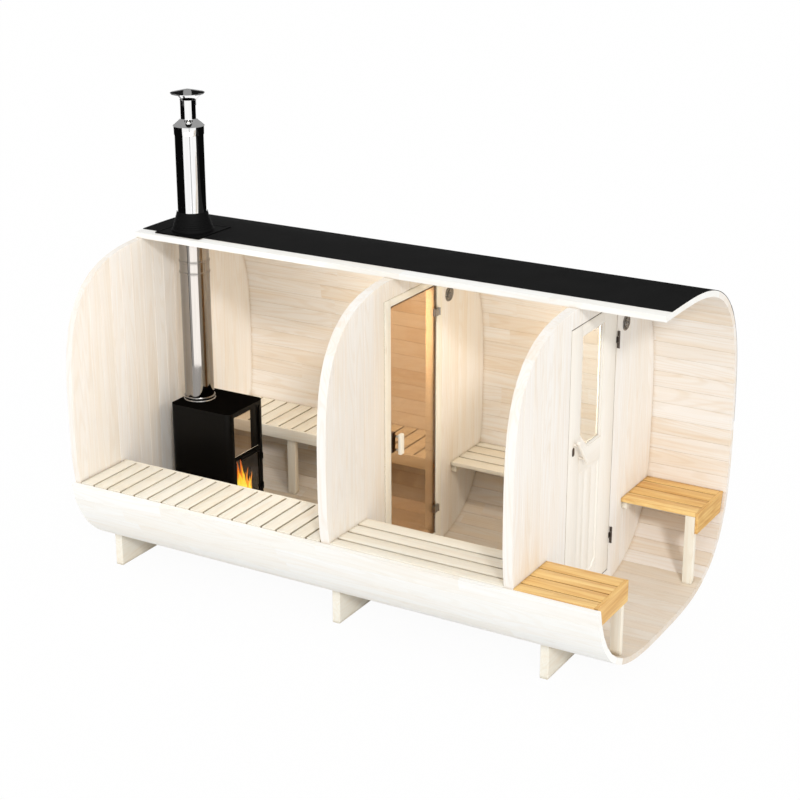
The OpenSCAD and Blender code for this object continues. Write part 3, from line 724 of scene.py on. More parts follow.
def walls():
    wall("end_wall_boards", END_WALL_X, STEAM_START, [[]], ["end_wall"])
    for name, start, end in (("inner", INNER_START, INNER_END), ("outer", OUTER_START, OUTER_END)):
        low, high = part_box(name + "_door_frame")
        across, up = (low.y, high.y), (low.z, high.z)
        between = [(0, across[0], True), (0, across[1], False)]
        over, under = between + [(1, up[1], True)], between + [(1, up[0], False)]
        wall(name + "_wall_front_boards", start, end, [[(0, across[0], False)]], [name + "_wall_front"])
        wall(name + "_wall_back_boards", start, end, [[(0, across[1], True)]], [name + "_wall_back"])
        wall(name + "_wall_head_and_sill_boards", start, end, [over, under], [name + "_wall_head_and_sill"])


# Benches

def boards_of(node, name, axis, edge=0.003, woods=SPRUCE, slot="pale_spruce"):
    """Each solid of a node as a planed board with rounded edges."""
    shape = Shape()
    for low, high in islands(node):
        shape.box(low, high, axis, edge)
    shape.make(name, woods[axis], replaces=[node], slot=slot)


def end_planks():
    """End boards of the terrace seats, cut to the staves."""
    shape = Shape()
    edge = 0.002
    for low, high in islands("terrace_bench_end_boards"):
        side = 1 if high.y > 0 else -1
        near = min(abs(low.y), abs(high.y))
        foot, top = room_reach(low.z), room_reach(high.z)
        under, over = low.z + edge, high.z - edge
        full = [(near, low.z), (foot, low.z), (top, high.z), (near, high.z)]
        inset = [(near + edge, under), (foot, under), (top, over), (near + edge, over)]
        outlines = [[(side * y, z) for y, z in outline] for outline in (full, inset)]
        shape.slab(low.x, high.x, edge, *outlines)
    replaced = ["terrace_bench_end_boards"]
    shape.make("terrace_bench_end_planks", OILED[1], replaces=replaced, slot="oiled_pine", smooth=0.3)


def benches():
    for side in ("_front", "_back"):
        for room, axis in (("steam", 1), ("change", 0)):
            seat = room + "_bench" + side
            boards_of(seat + "_slats", seat + "_boards", axis, 0.0025)
        seat = "terrace_bench" + side
        boards_of(seat + "_boards", seat + "_planks", 0, woods=OILED, slot="oiled_pine")
    boards_of("steam_bench_rails", "steam_bench_front_boards_and_rails", 0)
    boards_of("steam_bench_legs", "steam_bench_posts", 2)
    boards_of("change_bench_battens", "change_bench_rails", 1)
    end_planks()
    boards_of("terrace_bench_legs", "terrace_bench_posts", 2)
    boards_of("terrace_bench_battens", "terrace_bench_rails", 1)


# Inner door

def inner_frame():
    """Frame of four members, each stepped for the glass."""
    low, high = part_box("inner_door_frame")
    jamb, head, sill, step, edge = 0.095, 0.070, 0.060, 0.020, 0.002
    layers = []
    for near, far, reach in ((low.x, high.x - step, 0.0), (high.x - step, high.x, step)):
        layers.append((near, far, reach, low.y + jamb - reach, high.y - jamb + reach))
    uprights, crosses = Shape(), Shape()
    for near, far, reach, left, right in layers:
        uprights.box((near, low.y, low.z), (far, left, high.z), 2, edge)
        uprights.box((near, right, low.z), (far, high.y, high.z), 2, edge)
    for near, far, reach, left, right in layers:
        crosses.box((near, left, high.z - head + reach), (far, right, high.z), 1, edge)
        crosses.box((near, left, low.z), (far, right, low.z + sill - reach), 1, edge)
    uprights.make("inner_door_uprights", SPRUCE[2], replaces=["inner_door_frame"])
    crosses.make("inner_door_head_and_sill", SPRUCE[1])


def inner_grips():
    """A pale grip outside and a dark brown one in the steam room."""
    bar, lap, radius = 0.030, 0.028, 0.008
    for low, high in islands("inner_door_handle"):
        shape = Shape()
        outside = high.x > 0.2
        if outside:
            near, far, start, end = high.x - bar, high.x, low.x, high.x - lap
        else:
            near, far, start, end = low.x, low.x + bar, low.x + lap, high.x
        shape.box((near, low.y, low.z), (far, high.y, high.z), 2, 0.009, 5)
        middle = (low.y + high.y) / 2
        for part in (1 / 6, 5 / 6):
            place = (0, middle, low.z + part * (high.z - low.z))
            shape.lathe([(radius, start), (radius, end)], place, 24, axis=0, closed=True)
        if outside:
            shape.make("inner_door_grip", SPRUCE[2], "glass_door", ["inner_door_handle"])
        else:
            shape.make("inner_door_steam_grip", DARK_GRIP_WOOD, "glass_door", slot="oiled_pine")


# Outer door

LEAF_X = (1.455, 1.497)
LEAF_Y = (-0.300, 0.390)
LEAF_Z = (0.310, 2.200)
WINDOW_Y = (-0.132, 0.194)
WINDOW_Z = (1.345, 2.125)
WINDOW_CUT = 0.114
PANEL_Z = (0.415, 1.195)
PANEL_CUT = 0.060
PANEL_DEPTH = 0.010


def corner_block(shape, x, y, z, along, up):
    """A three-cornered block in a corner of an opening."""
    outline = [(y, z), (y + along, z), (y, z + up)]
    shape.prism([(place, outline) for place in x])


def bead(shape, x, points, width, inwards):
    """A moulding along a closed outline, standing inside it."""
    count = len(points)
    back, front = x
    shoulder, toe = front + 0.25 * inwards, front - 0.15 * (front - back)
    profile = ((0.0, back), (0.0, front), (0.35, shoulder), (0.8, toe), (1.0, back))
    rings = []
    for part, place in profile:
        ring = []
        for i, p in enumerate(points):
            a, b = Vector(points[i - 1]), Vector(points[(i + 1) % count])
            p = Vector(p)
            d1, d2 = (p - a).normalized(), (b - p).normalized()
            n1, n2 = Vector((-d1.y, d1.x)), Vector((-d2.y, d2.x))
            mitre = (n1 + n2) / (1 + n1.dot(n2))
            q = p + mitre * width * part
            ring.append((place, q.x, q.y))
        rings.append(ring)
    rings.append(rings[0])
    shape.loft(rings, closed=False)


def leaf():
    stiles, rails = Shape(), Shape()
    x0, x1 = LEAF_X
    stiles.box((x0, LEAF_Y[0], LEAF_Z[0]), (x1, WINDOW_Y[0], LEAF_Z[1]), 2, 0.002)
    stiles.box((x0, WINDOW_Y[1], LEAF_Z[0]), (x1, LEAF_Y[1], LEAF_Z[1]), 2, 0.002)
    count = 3
    wide = (WINDOW_Y[1] - WINDOW_Y[0]) / count
    for i in range(count):
        a = WINDOW_Y[0] + i * wide
        stiles.box((x0 + 0.004, a, PANEL_Z[0]), (x1 - PANEL_DEPTH, a + wide, PANEL_Z[1]), 2, 0.003)
    for low, high in ((LEAF_Z[0], PANEL_Z[0]), (PANEL_Z[1], WINDOW_Z[0]), (WINDOW_Z[1], LEAF_Z[1])):
        rails.box((x0, WINDOW_Y[0], low), (x1, WINDOW_Y[1], high), 1, 0.002)
    corner_block(rails, LEAF_X, WINDOW_Y[0], WINDOW_Z[0], WINDOW_CUT, WINDOW_CUT)
    corner_block(rails, LEAF_X, WINDOW_Y[1], PANEL_Z[0], -PANEL_CUT, PANEL_CUT)
    a, b = WINDOW_Y
    low, high = WINDOW_Z
    window = [(a, low + WINDOW_CUT), (a + WINDOW_CUT, low), (b, low), (b, high), (a, high)]
    low, high = PANEL_Z
    panel = [(a, low), (b - PANEL_CUT, low), (b, low + PANEL_CUT), (b, high), (a, high)]
    trim = Shape()
    bead(trim, (x1 - PANEL_DEPTH, x1 - 0.001), panel, 0.022, 0.004)
    bead(trim, (1.4792, 1.490), window, 0.012, 0.003)
    bead(trim, (1.4728, 1.462), window, 0.012, -0.003)
    stiles.make("outer_door_stiles_and_panel", DOOR[2], "entrance_door", ["outer_door_leaf"])
    rails.make("outer_door_rails", DOOR[1], "entrance_door")
    trim.make("outer_door_mouldings", DOOR[2], "entrance_door")


def border(shape, x, outer, inner, edge):
    """Two upright strips and two between them; outer and inner are (left, right, low, high)."""
    left, right, low, high = outer
    near, far, under, over = inner
    for a, b in ((left, near), (far, right)):
        shape.box((x[0], a, low), (x[1], b, high), 2, edge)
    for a, b in ((low, under), (over, high)):
        shape.box((x[0], near, a), (x[1], far, b), 1, edge)


def gap_shade_strips():
    """Dark strips in the gap round the outer door, painted shade where the gap lies in shade."""
    shape = Shape()
    low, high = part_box("outer_door_frame")
    wide = 0.0068
    inner = (low.y + wide, high.y - wide, low.z + wide, high.z - wide)
    border(shape, (high.x, LEAF_X[1] - 0.003), (low.y, high.y, low.z, high.z), inner, 0.001)
    shape.make("outer_door_gap_shade", GAP_SHADE, slot="boot_rubber")


def pull():
    """The slanting wooden pull on two turned posts."""
    shape = Shape()
    half, stand, depth, width = 0.115, 0.030, 0.022, 0.024
    shape.box((stand, -width / 2, -half), (stand + depth, width / 2, half), 2, 0.0095, 6)
    post = [(0.010, 0.0), (0.009, 0.004), (0.009, stand + 0.003)]
    for side in (-1, 1):
        shape.lathe(post, (0, 0, side * half * 2 / 3), 24, axis=0, closed=True)
    low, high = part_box("outer_door_handle")
    place = Vector((low.x, (low.y + high.y) / 2, (low.z + high.z) / 2))
    turn = Matrix.Translation(place) @ Matrix.Rotation(math.radians(38), 4, "X")
    shape.points = [turn @ p for p in shape.points]
    shape.make("outer_door_pull", DOOR[2], "entrance_door", ["outer_door_handle"])


def lock():
    """An oval keyhole plate."""
    shape = Shape()
    low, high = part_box("outer_door_lock")
    y, z = (low.y + high.y) / 2, (low.z + high.z) / 2
    radius = (high.y - low.y) / 2
    rise = (high.z - low.z) / 2 - radius
    segments = 48
    rings = []
    for inset, place in ((0.0, low.x), (0.0, low.x + 0.002), (0.002, low.x + 0.0037), (0.004, high.x)):
        r = radius - inset
        ring = []
        for i in range(segments):
            turn = 2 * math.pi * (i + 0.5) / segments
            lift = rise if turn < math.pi else -rise
            ring.append((place, y + r * math.cos(turn), z + lift + r * math.sin(turn)))
        rings.append(ring)
    shape.loft(rings)
    shape.make("outer_door_keyhole_plate", HINGE, "entrance_door", ["outer_door_lock"], "hinge_steel")


def outer_hinges():
    """Slim loose-pin hinges: a middle knuckle on the leaf between two on the wall."""
    pin_x, pin_y, radius, plate, link = 1.511, 0.406, 0.005, 0.0012, 0.004
    leaf_part, wall_part = Shape(), Shape()
    moving, fixed = islands("outer_door_hinges"), islands("outer_hinge_brackets")
    ease, edge, gap = 0.0012, 0.0006, 0.0004
    for (low, high), (foot, head) in zip(moving, fixed):
        knuckles = (
            (leaf_part, low.z, high.z, pin_y - 0.020, pin_y + link / 2),
            (wall_part, foot.z, low.z - gap, pin_y - link / 2, head.y),
            (wall_part, high.z + gap, head.z, pin_y - link / 2, head.y))
        for shape, bottom, top, near, far in knuckles:
            under, over = bottom + ease, top - ease
            outline = [(radius - ease, bottom), (radius, under), (radius, over), (radius - ease, top)]
            shape.lathe(outline, (pin_x, pin_y, 0), 32, closed=True)
            shape.box((low.x, near, bottom), (low.x + plate, far, top), 2, edge)
            shape.box((low.x, pin_y - link / 2, under), (pin_x, pin_y + link / 2, over), 2, edge)
    leaf_part.make("outer_door_knuckles", HINGE, "entrance_door", ["outer_door_hinges"], "hinge_steel")
    wall_part.make("outer_wall_knuckles", HINGE, "building", ["outer_hinge_brackets"], "hinge_steel")


# Stove

RAIL = 0.013


def fire_door():
    """Slim black rails round the glass, on thin hinges."""
    low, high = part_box("stove_door")
    glass_low, glass_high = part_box("stove_door_glass")
    near, far, lap = low.x, low.x + RAIL, 0.002
    left, right = low.y, -low.y
    rails, posts = Shape(), Shape()
    inner = (glass_low.y + lap, glass_high.y - lap, glass_low.z + lap, glass_high.z - lap)
    border(rails, (near, far), (left, right, low.z, high.z), inner, 0.0015)
    pin_x, pin_y, radius, arm, gap = -1.175, 0.170, 0.0055, 0.005, 0.0004
    for under, over in islands("stove_hinge_brackets"):
        third = (over.z - under.z) / 3
        for i, shape in enumerate((posts, rails, posts)):
            bottom, top = under.z + i * third + gap, under.z + (i + 1) * third - gap
            shape.lathe([(radius, bottom), (radius, top)], (pin_x, pin_y, 0), 24, closed=True)
            reach = (far - 0.004, right - 0.004) if shape is rails else (under.x - 0.002, pin_y - arm / 2)
            shape.box((reach[0], reach[1], bottom), (pin_x, pin_y + arm / 2, top), 2, 0.0008)
    rails.make("stove_door_rails", BLACK, "fire_door", ["stove_door"], "black_steel")
    posts.make("stove_hinge_posts", BLACK, "building", ["stove_hinge_brackets"], "black_steel")


def door_bar():
    """The round bar across the top of the fire door, on two posts."""
    low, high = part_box("stove_door")
    half, thick, ease, x, z = 0.115, 0.006, 0.001, high.x - 0.006, high.z - 0.007
    bar = Shape()
    outline = [(thick - ease, -half), (thick, ease - half), (thick, half - ease), (thick - ease, half)]
    bar.lathe(outline, (0, 0, 0), 32, closed=True)
    bar.points = [Vector((x + p.x, p.z, z + p.y)) for p in bar.points]
    for side in (-1, 1):
        post = [(0.004, low.x + RAIL - 0.002), (0.004, x)]
        bar.lathe(post, (0, side * 0.095, z), 24, axis=0, closed=True)
    bar.make("stove_door_bar", BLACK, "fire_door", slot="black_steel")


def glass_border():
    """The black printed edge of the stove's upper glass."""
    low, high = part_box("stove_upper_glass")
    shape = Shape()
    thick, wide, hinge_side, edge = 0.0006, 0.006, 0.098, 0.0002
    near, far = high.x, high.x + thick
    left, right = low.y + wide, high.y - hinge_side
    for a, b in ((right, high.y), (low.y, left)):
        shape.box((near, a, low.z), (far, b, high.z), 2, edge)
    for a, b in ((low.z, low.z + wide), (high.z - wide, high.z)):
        shape.box((near, left, a), (far, right, b), 1, edge)
    shape.make("stove_glass_border", BLACK, slot="black_steel")
    trim = Shape()
    trim.box((high.x, low.y, low.z - 0.004), (high.x + 0.004, high.y, low.z + 0.006), 1, 0.0012)
    trim.make("stove_glass_trim", BRIGHT, slot="bright_steel")


# Chimney

FLUE_R = 0.106
STOVE_TOP = 1.118
RIDGE_Z = 2.374
BOOT_TOP = 2.516
PIPE_TOP = 3.123
NECK_TOP = 3.300
CAP_TOP = 3.374
NECK_R = 0.056
CAP_R = 0.119
CONE = 0.043
CAP_RISE = 0.025
CAP_RIM = CAP_TOP - CAP_RISE
BORE = FLUE_R - 0.012
BAND_LOW = 2.065
BAND_HIGH = 2.169
BOOT_GAP = 0.010
AXIS = Vector((FLUE_X, 0, 0))


def flue():
    shape = Shape()
    outline = [(BORE, STOVE_TOP)]
    outline += steps_from(FLUE_R, STOVE_TOP, (0.005, 0), (0.005, 0.022), (0.003, 0.027), (0, 0.028))
    outline += steps_from(FLUE_R, BAND_LOW, (0, 0), (0.003, 0.002), (0.003, 0.020), (0.001, 0.022))
    outline += steps_from(FLUE_R, BAND_HIGH, (0.001, -0.022), (0.003, -0.020), (0.003, -0.002), (0, 0))
    outline += [(FLUE_R, BOOT_TOP), (BORE, BOOT_TOP), (BORE, STOVE_TOP)]
    shape.lathe(outline, AXIS, 128)
    shape.make("flue_tube", FLUE_STEEL, replaces=["flue_pipe"], slot="bright_steel", smooth=0.3)


def flue_rings():
    """Rings at the foot of the flue and on its bands."""
    inner, half = FLUE_R - 0.002, 0.005
    foot = ((STOVE_TOP + half, 0.011), (STOVE_TOP + 0.026, 0.008))
    band = ((BAND_LOW + 0.011, 0.005), (BAND_HIGH - 0.011, 0.005))
    for name, places, material in (("flue_foot_rings", foot, STEEL), ("flue_band_rings", band, FLUE_STEEL)):
        shape = Shape()
        for z, proud in places:
            edge, low, high = FLUE_R + 0.7 * proud, z - half, z + half
            outside = [(edge, low), (FLUE_R + proud, z), (edge, high)]
            shape.lathe([(inner, low), *outside, (inner, high), (inner, low)], AXIS, 128)
        shape.make(name, material, slot="bright_steel", smooth=0.9)


def chimney_tube():
    """The pipe over the roof, with a collar and a neck."""
    shape = Shape()
    collar = ((0, -0.062), (0.004, -0.060), (0.005, -0.056), (0.005, -0.003), (0.003, 0))
    outline = [(BORE, BOOT_TOP), (FLUE_R, BOOT_TOP)]
    outline += steps_from(FLUE_R, PIPE_TOP, *collar)
    outline += steps_from(NECK_R, PIPE_TOP + CONE, (0.001, 0), (0, 0.003))
    outline += [(NECK_R, NECK_TOP), (NECK_R - 0.003, NECK_TOP), (NECK_R - 0.003, PIPE_TOP)]
    outline += [(BORE, PIPE_TOP), (BORE, BOOT_TOP)]
    shape.lathe(outline, AXIS, 128)
    seam()
    shape.make("chimney_tube", BRIGHT, replaces=["chimney_pipe"], slot="bright_steel", smooth=0.3)


def rain_cap():
    cap, straps = Shape(), Shape()
    rim = ((-0.004, 0), (0, -0.002), (0, -0.006), (-0.002, -0.007), (-0.005, -0.004))
    outline = [(0.0005, CAP_TOP), (0.02, CAP_TOP - 0.004)]
    outline += steps_from(CAP_R, CAP_RIM, *rim)
    outline += [(0.02, CAP_TOP - 0.007), (0.0005, CAP_TOP - 0.003)]
    cap.lathe(outline, AXIS, 96)
    for turn in (30, 150, 270):
        strap(straps, math.radians(turn))
    straps.make("rain_cap_straps", SEAM, slot="bright_steel", smooth=0.3)
    cap.make("rain_cap", BRIGHT, replaces=["chimney_cap"], slot="bright_steel", smooth=0.3)


def roof_boot():
    """A rubber boot in folds up to a lip, on its plate."""
    shape = Shape()
    foot, lip, sleeve = 0.150, FLUE_R + 0.004, FLUE_R + 0.0005
    shoulder, low, high = foot - 0.003, RIDGE_Z + 0.018, BOOT_TOP - 0.010
    inside = (FLUE_R + BOOT_GAP, RIDGE_Z)
    outline = [inside, (foot, RIDGE_Z), (foot, RIDGE_Z + 0.012), (shoulder, low)]
    folds = 7
    for i in range(folds):
        part = (i + 1) / (folds + 1)
        r = shoulder + (lip - shoulder) * part ** 0.85
        z = low + (high - low) * part
        outline += steps_from(r, z, (0, -0.004), (0.0007, 0), (-0.0004, 0.004))
    outline += [(lip, BOOT_TOP - 0.008), (lip - 0.001, BOOT_TOP)]
    outline += [(sleeve, BOOT_TOP), (sleeve, BOOT_TOP - 0.030), inside]
    shape.lathe(outline, AXIS, 96)
    boot_plate(shape)
    shape.make("roof_flashing", RUBBER, replaces=["roof_boot"], slot="boot_rubber", smooth=0.4)


def seam():
    """The welded seam of the chimney's tube, a thin upright strip."""
    shape = Shape()
    wide, proud = 0.0042, 0.0006
    turn = Matrix.Rotation(math.radians(-52), 3, "Z")
    lengths = (
        (FLUE_R, BOOT_TOP, PIPE_TOP - 0.063),
        (FLUE_R + 0.005, PIPE_TOP - 0.056, PIPE_TOP - 0.003))
    for radius, low, high in lengths:
        shape.box((radius - 0.001, -wide / 2, low), (radius + proud, wide / 2, high), 2, 0.0004)
    shape.points = [turn @ p + AXIS for p in shape.points]
    shape.make("chimney_seam", SEAM, slot="bright_steel")


def strap(shape, turn):
    """A bent strap from the neck to the rain cap."""
    wide, thick = 0.014, 0.0015
    path = steps_from(NECK_R, NECK_TOP, (0, -0.040), (0, -0.004), (0.006, 0.004))
    path += steps_from(CAP_R, CAP_RIM, (-0.016, -0.006), (-0.012, 0))
    rings = []
    for radius, z in path:
        ring = []
        for r, side in ((radius, -1), (radius + thick, -1), (radius + thick, 1), (radius, 1)):
            p = Vector((r, side * wide / 2, z))
            p.rotate(Matrix.Rotation(turn, 3, "Z"))
            ring.append(p + AXIS)
        rings.append(ring)
    shape.loft(rings)


def boot_plate(shape):
    """The flashing's soft plate, with a raised border, lying on the felt round the flue."""
    half, rim, steps = 0.190, 0.014, 24
    for low, lift in ((0.0, 0.004), (half - rim, 0.0062)):
        outer, inner = [], []
        for i in range(4 * steps):
            side, part = divmod(i, steps)
            t = -1 + 2 * part / steps
            x, y = [(t, -1), (1, t), (-t, 1), (-1, -t)][side]
            outer.append(Vector((x * half, y * half)))
            if low:
                inner.append(Vector((x * low, y * low)))
            else:
                inner.append(Vector((x, y)).normalized() * (FLUE_R + BOOT_GAP))
        rings = []
        for ring, rise in ((inner, 0.0), (outer, 0.0), (outer, lift), (inner, lift), (inner, 0.0)):
            rings.append([(FLUE_X + p.x, p.y, felt_top(p.y) + rise) for p in ring])
        shape.loft(rings, closed=False)


def felt_top(y):
    """Height of the felt's top near the ridge."""
    return 2 * CENTRE_Z - outer_floor(y) + 0.0045


# Vents

def vents():
    for name in ("inner", "outer"):
        low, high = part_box(name + "_vent")
        y, z = (low.y + high.y) / 2, (low.z + high.z) / 2
        shape = Shape()
        r = (high.y - low.y) / 2
        rim = ((0, 0), (0, 0.003), (-0.003, 0.007), (-0.010, 0.009), (-0.014, 0.006), (-0.016, 0.002))
        shape.lathe(steps_from(r, 0, *rim), (low.x, y, z), 64, axis=0)
        plate = [(0.0005, 0.012), (0.006, 0.018), (0.010, 0.017), (0.012, 0.012)]
        plate += steps_from(r, 0, (-0.026, 0.010), (-0.019, 0.012), (-0.018, 0.010), (-0.020, 0.004))
        shape.lathe(plate + [(0.0005, 0.004)], (low.x, y, z), 64, axis=0)
        stud, ring = [(0.003, 0.0105), (0.0028, 0.0125), (0.0005, 0.013)], 0.024
        for turn in range(8):
            angle = math.radians(45 * turn)
            place = (low.x, y + ring * math.cos(angle), z + ring * math.sin(angle))
            shape.lathe(stud, place, 12, axis=0)
        shape.make(name + "_round_vent", VENT, replaces=[name + "_vent"], slot="vent_plastic")


# Fire

def fire():
    logs = Shape()
    x, z = -1.33, 0.43
    for dx, dy, dz, turn, length, r in LOGS:
        rings = []
        direction = Matrix.Rotation(math.radians(turn), 3, "Z")
        for i in range(9):
            t = i / 8 - 0.5
            ring = []
            for j in range(20):
                a = 2 * math.pi * j / 20
                wobble = 1 + 0.06 * math.sin(3 * a + 5 * t) + 0.04 * chance.random()
                p = direction @ Vector((t * length, r * wobble * math.cos(a), r * wobble * math.sin(a)))
                ring.append(Vector((x + dx, dy, z + dz)) + p)
            rings.append(ring)
        logs.loft(rings)
    logs.make("fire_logs", bark(), slot="oiled_pine", smooth=0.9)
    outer = (
        (0.0, (1.0, 0.50, 0.02)), (0.35, (1.0, 0.33, 0.015)),
        (0.7, (0.85, 0.17, 0.01)), (1.0, (0.45, 0.07, 0.005)))
    core = ((0.0, (1.0, 0.88, 0.10)), (0.5, (1.0, 0.70, 0.03)), (1.0, (1.0, 0.42, 0.015)))
    base = 0.425
    flames("fire_flames", FLAMES, base, flame_material("flame", base, base + 0.30, outer))
    flames("fire_core", CORES, base, flame_material("flame_core", base + 0.06, base + 0.24, core))


def flames(name, tongues, base, material):
    """Tongues of flame behind the fire door's glass."""
    shape = Shape()
    front = -1.222
    for dx, dy, height, r in tongues:
        rings = []
        for i in range(17):
            t = i / 16
            radius = r * math.sin(math.pi * (0.16 + 0.84 * t) ** 0.7) ** 0.85 * (1 - 0.3 * t) + 0.0006
            sway = 0.014 * math.sin(6.0 * t + 31 * dy) * t
            ring = []
            for j in range(16):
                a = 2 * math.pi * j / 16
                x = front + dx + radius * 0.45 * math.cos(a)
                ring.append((x, dy + sway + radius * math.sin(a), base + height * t))
            rings.append(ring)
        shape.loft(rings)
    shape.make(name, material, slot="stove_glass", smooth=1.2)


# Place, turn, length and radius of each log
LOGS = (
    (0.0, 0.02, 0.0, 80, 0.22, 0.038),
    (-0.09, -0.01, 0.0, 95, 0.24, 0.042),
    (-0.04, 0.0, 0.07, 60, 0.22, 0.036))

# Place behind the glass, place across, height and radius of each tongue of flame
FLAMES = (
    (-0.010, -0.118, 0.24, 0.020),
    (-0.014, -0.092, 0.20, 0.034),
    (-0.010, -0.070, 0.29, 0.022),
    (-0.018, -0.050, 0.23, 0.040),
    (-0.010, -0.022, 0.33, 0.020),
    (-0.018, -0.008, 0.21, 0.030),
    (-0.012, 0.020, 0.17, 0.022),
    (-0.010, 0.046, 0.20, 0.014),
    (-0.012, 0.068, 0.12, 0.018),
    (-0.010, 0.090, 0.15, 0.011))
CORES = (
    (0.006, -0.112, 0.17, 0.016),
    (0.008, -0.088, 0.23, 0.020),
    (0.009, -0.058, 0.19, 0.026),
    (0.010, -0.030, 0.25, 0.018),
    (0.008, -0.008, 0.16, 0.018),
    (0.008, 0.052, 0.11, 0.014))


shell()
felt()
cradles()
walls()
benches()
inner_frame()
inner_grips()
leaf()
gap_shade_strips()
pull()
lock()
outer_hinges()
fire_door()
door_bar()
glass_border()
flue()
flue_rings()
chimney_tube()
rain_cap()
roof_boot()
vents()
fire()


# Camera and light

def camera():
    azimuth, elevation, roll = math.radians(30.25), math.radians(19.96), math.radians(-0.10)
    data = bpy.data.cameras.new("camera")
    data.sensor_width = 36.0
    data.lens = 81.21
    data.clip_end = 500.0
    view = put("camera", data)
    turn = Matrix.Rotation(azimuth, 4, "Z")
    turn = turn @ Matrix.Rotation(math.pi / 2 - elevation, 4, "X")
    turn = turn @ Matrix.Rotation(roll, 4, "Z")
    view.matrix_world = Matrix.Translation((5.906, -9.966, 5.593)) @ turn
    bpy.context.scene.camera = view


def lamp(name, kind, place, target, energy, **settings):
    """A lamp at a place, turned to a target."""
    data = bpy.data.lights.new(name, kind)
    data.energy = energy
    for key, value in settings.items():
        setattr(data, key, value)
    thing = put(name, data)
    thing.location = place
    thing.rotation_euler = (Vector(target) - Vector(place)).to_track_quat("-Z", "Y").to_euler()
    return thing


def hide(thing, *kinds):
    """Keeps a thing out of the sight of some kinds of rays."""
    for rays in kinds:
        setattr(thing, "visible_" + rays, False)


def room_light(name, place, target, power, colour):
    """A small soft lamp in a room, out of sight."""
    light = lamp(name, "AREA", place, target, power, shape="DISK", size=0.14, color=colour)
    hide(light, "camera", "glossy", "transmission")


def seen(tree):
    """1 for rays from the camera, off metal or through glass, 0 for those that light the object."""
    path = add(tree, "LightPath")
    result = path.outputs["Is Camera Ray"]
    for rays in ("Is Glossy Ray", "Is Transmission Ray"):
        either = add(tree, "Math", operation="MAXIMUM")
        feed(either, 0, result)
        feed(either, 1, path.outputs[rays])
        result = either.outputs[0]
    return result


def world():
    studio = bpy.data.worlds.new("studio")
    bpy.context.scene.world = studio
    studio.use_nodes = True
    tree = studio.node_tree
    tree.nodes.clear()
    choose = add(tree, "MixShader", Fac=seen(tree))
    for socket, strength in ((1, 0.90), (2, 1.0)):
        light = add(tree, "Background", Color=(1, 1, 1, 1), Strength=strength)
        feed(choose, socket, light.outputs[0])
    add(tree, "OutputWorld", Surface=choose.outputs[0])


def floor():
    reach, level = 150.0, -0.001
    corners = [(x * reach, y * reach, level) for x, y in ((-1, -1), (1, -1), (1, 1), (-1, 1))]
    mesh = new_mesh("studio_floor", corners, [(0, 1, 2, 3)])
    plane = put("studio_floor", mesh)
    material, tree, shader = new_material("studio_white")
    feed(shader, "Base Color", (0.88, 0.88, 0.88, 1))
    feed(shader, "Roughness", 1.0)
    feed(shader, "Specular IOR Level", 0.0)
    part = add(tree, "Math", operation="MULTIPLY")
    feed(part, 0, seen(tree))
    feed(part, 1, 0.96)
    glow = add(tree, "Emission", Strength=1.0)
    choose = add(tree, "MixShader", Fac=part.outputs[0])
    feed(choose, 1, shader.outputs[0])
    feed(choose, 2, glow.outputs[0])
    out = next(n for n in tree.nodes if n.type == "OUTPUT_MATERIAL")
    feed(out, "Surface", choose.outputs[0])
    mesh.materials.append(material)


def glossy_card(name, points, faces, level):
    """A black, grey or white card that only polished surfaces show."""
    mesh = new_mesh(name, points, faces)
    material, _, shader = new_material(name + "_paint")
    feed(shader, "Base Color", (0, 0, 0, 1))
    feed(shader, "Specular IOR Level", 0.0)
    feed(shader, "Emission Color", (1, 1, 1, 1))
    feed(shader, "Emission Strength", level)
    mesh.materials.append(material)
    card = put(name, mesh)
    hide(card, "camera", "diffuse", "transmission", "volume_scatter", "shadow")


def round_chimney(turn, reach, z):
    return (FLUE_X + reach * math.cos(turn), reach * math.sin(turn), z)


def disc_card(name, height, reach, level):
    """A round card over the chimney."""
    steps = 48
    points = [round_chimney(2 * math.pi * i / steps, reach, height) for i in range(steps)]
    glossy_card(name, points, [tuple(range(steps))], level)


def ring_card(name, first, last, edges, level):
    """A card on part of a ring round the chimney, between two edges of (reach, height)."""
    points, faces = [], []
    steps = 24
    for i in range(steps + 1):
        turn = math.radians(first + (last - first) * i / steps)
        points += [round_chimney(turn, reach, z) for reach, z in edges]
    for i in range(steps):
        faces.append((2 * i, 2 * i + 2, 2 * i + 3, 2 * i + 1))
    glossy_card(name, points, faces, level)


CARD_REACH = 4.2
CARD_TOP = 9.0
FLOOR_CARD = ((CARD_REACH, 0.004), (9.0, 0.004))

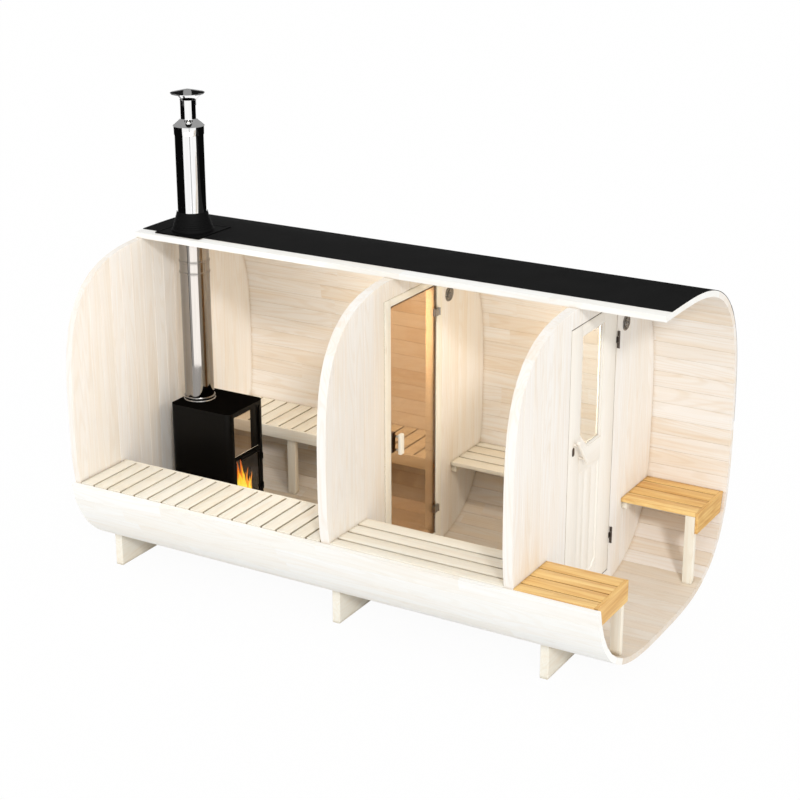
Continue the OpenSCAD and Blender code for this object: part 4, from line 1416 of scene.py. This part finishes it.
# Part of the ring in degrees, lower and upper edge and brightness of each upright card
UPRIGHT_CARDS = (
    ("card_right", -3, 87, 0.0, 3.2, 0.003),
    ("card_left", -193, -103, 0.0, 3.2, 0.003),
    ("card_far_left", 142, 240, 3.2, CARD_TOP, 0.33),
    ("card_behind_left", 134.5, 142, 3.0, CARD_TOP, 0.01),
    ("card_behind_middle", 119.5, 134.5, 3.0, CARD_TOP, 0.30),
    ("card_behind_right", 112, 119.5, 3.0, CARD_TOP, 0.01),
    ("card_far_right", 14, 112, 3.2, CARD_TOP, 0.33))

# Colours of the lamps
WARM = (1.0, 0.88, 0.72)
PLAIN = (1.0, 0.97, 0.93)

camera()
world()
floor()
lamp("key", "SUN", (16.0, -18.0, 14.8), (0, 0, 1.2), 1.16, angle=math.radians(7.0))
room_light("steam_room_lamp", (-0.12, -0.20, 1.95), (-0.15, 1.1, 1.55), 10.3, WARM)
room_light("steam_room_wash", (-0.15, -0.80, 1.85), (-1.9, -0.6, 1.35), 4.4, PLAIN)
room_light("change_room_lamp", (1.33, -0.15, 1.95), (1.0, 1.1, 1.35), 8.8, WARM)
for card, first, last, low, high, level in UPRIGHT_CARDS:
    ring_card(card, first, last, ((CARD_REACH, low), (CARD_REACH, high)), level)
disc_card("card_ceiling", CARD_TOP, CARD_REACH, 0.33)
disc_card("card_over", 7.0, 1.3, 0.01)
ring_card("card_floor", -88, -30, FLOOR_CARD, 3.2)

# Finishes of the frame's own pieces
FINISH = {
    "pale_spruce": SPRUCE[2],
    "oiled_pine": OILED[0],
    "roof_felt": FELT,
    "boot_rubber": RUBBER,
    "bronze_glass": BRONZE,
    "window_glass": CLEAR,
    "stove_glass": BRONZE,
    "black_steel": BLACK,
    "hinge_steel": HINGE,
    "bright_steel": BRIGHT,
    "vent_plastic": VENT}
for part in frame["record"]["subparts"]:
    mesh = nodes[part["node"]].data
    mesh.materials.clear()
    mesh.materials.append(FINISH[part["material_slot"]])
special = (
    ("stove_upper_glass", MIRROR), ("stove_door_glass", FIRE_GLASS),
    ("inner_door_hinges", STEEL), ("inner_hinge_brackets", STEEL))
for node, material in special:
    nodes[node].data.materials[0] = material

bpy.context.scene.view_settings.view_transform = "Standard"
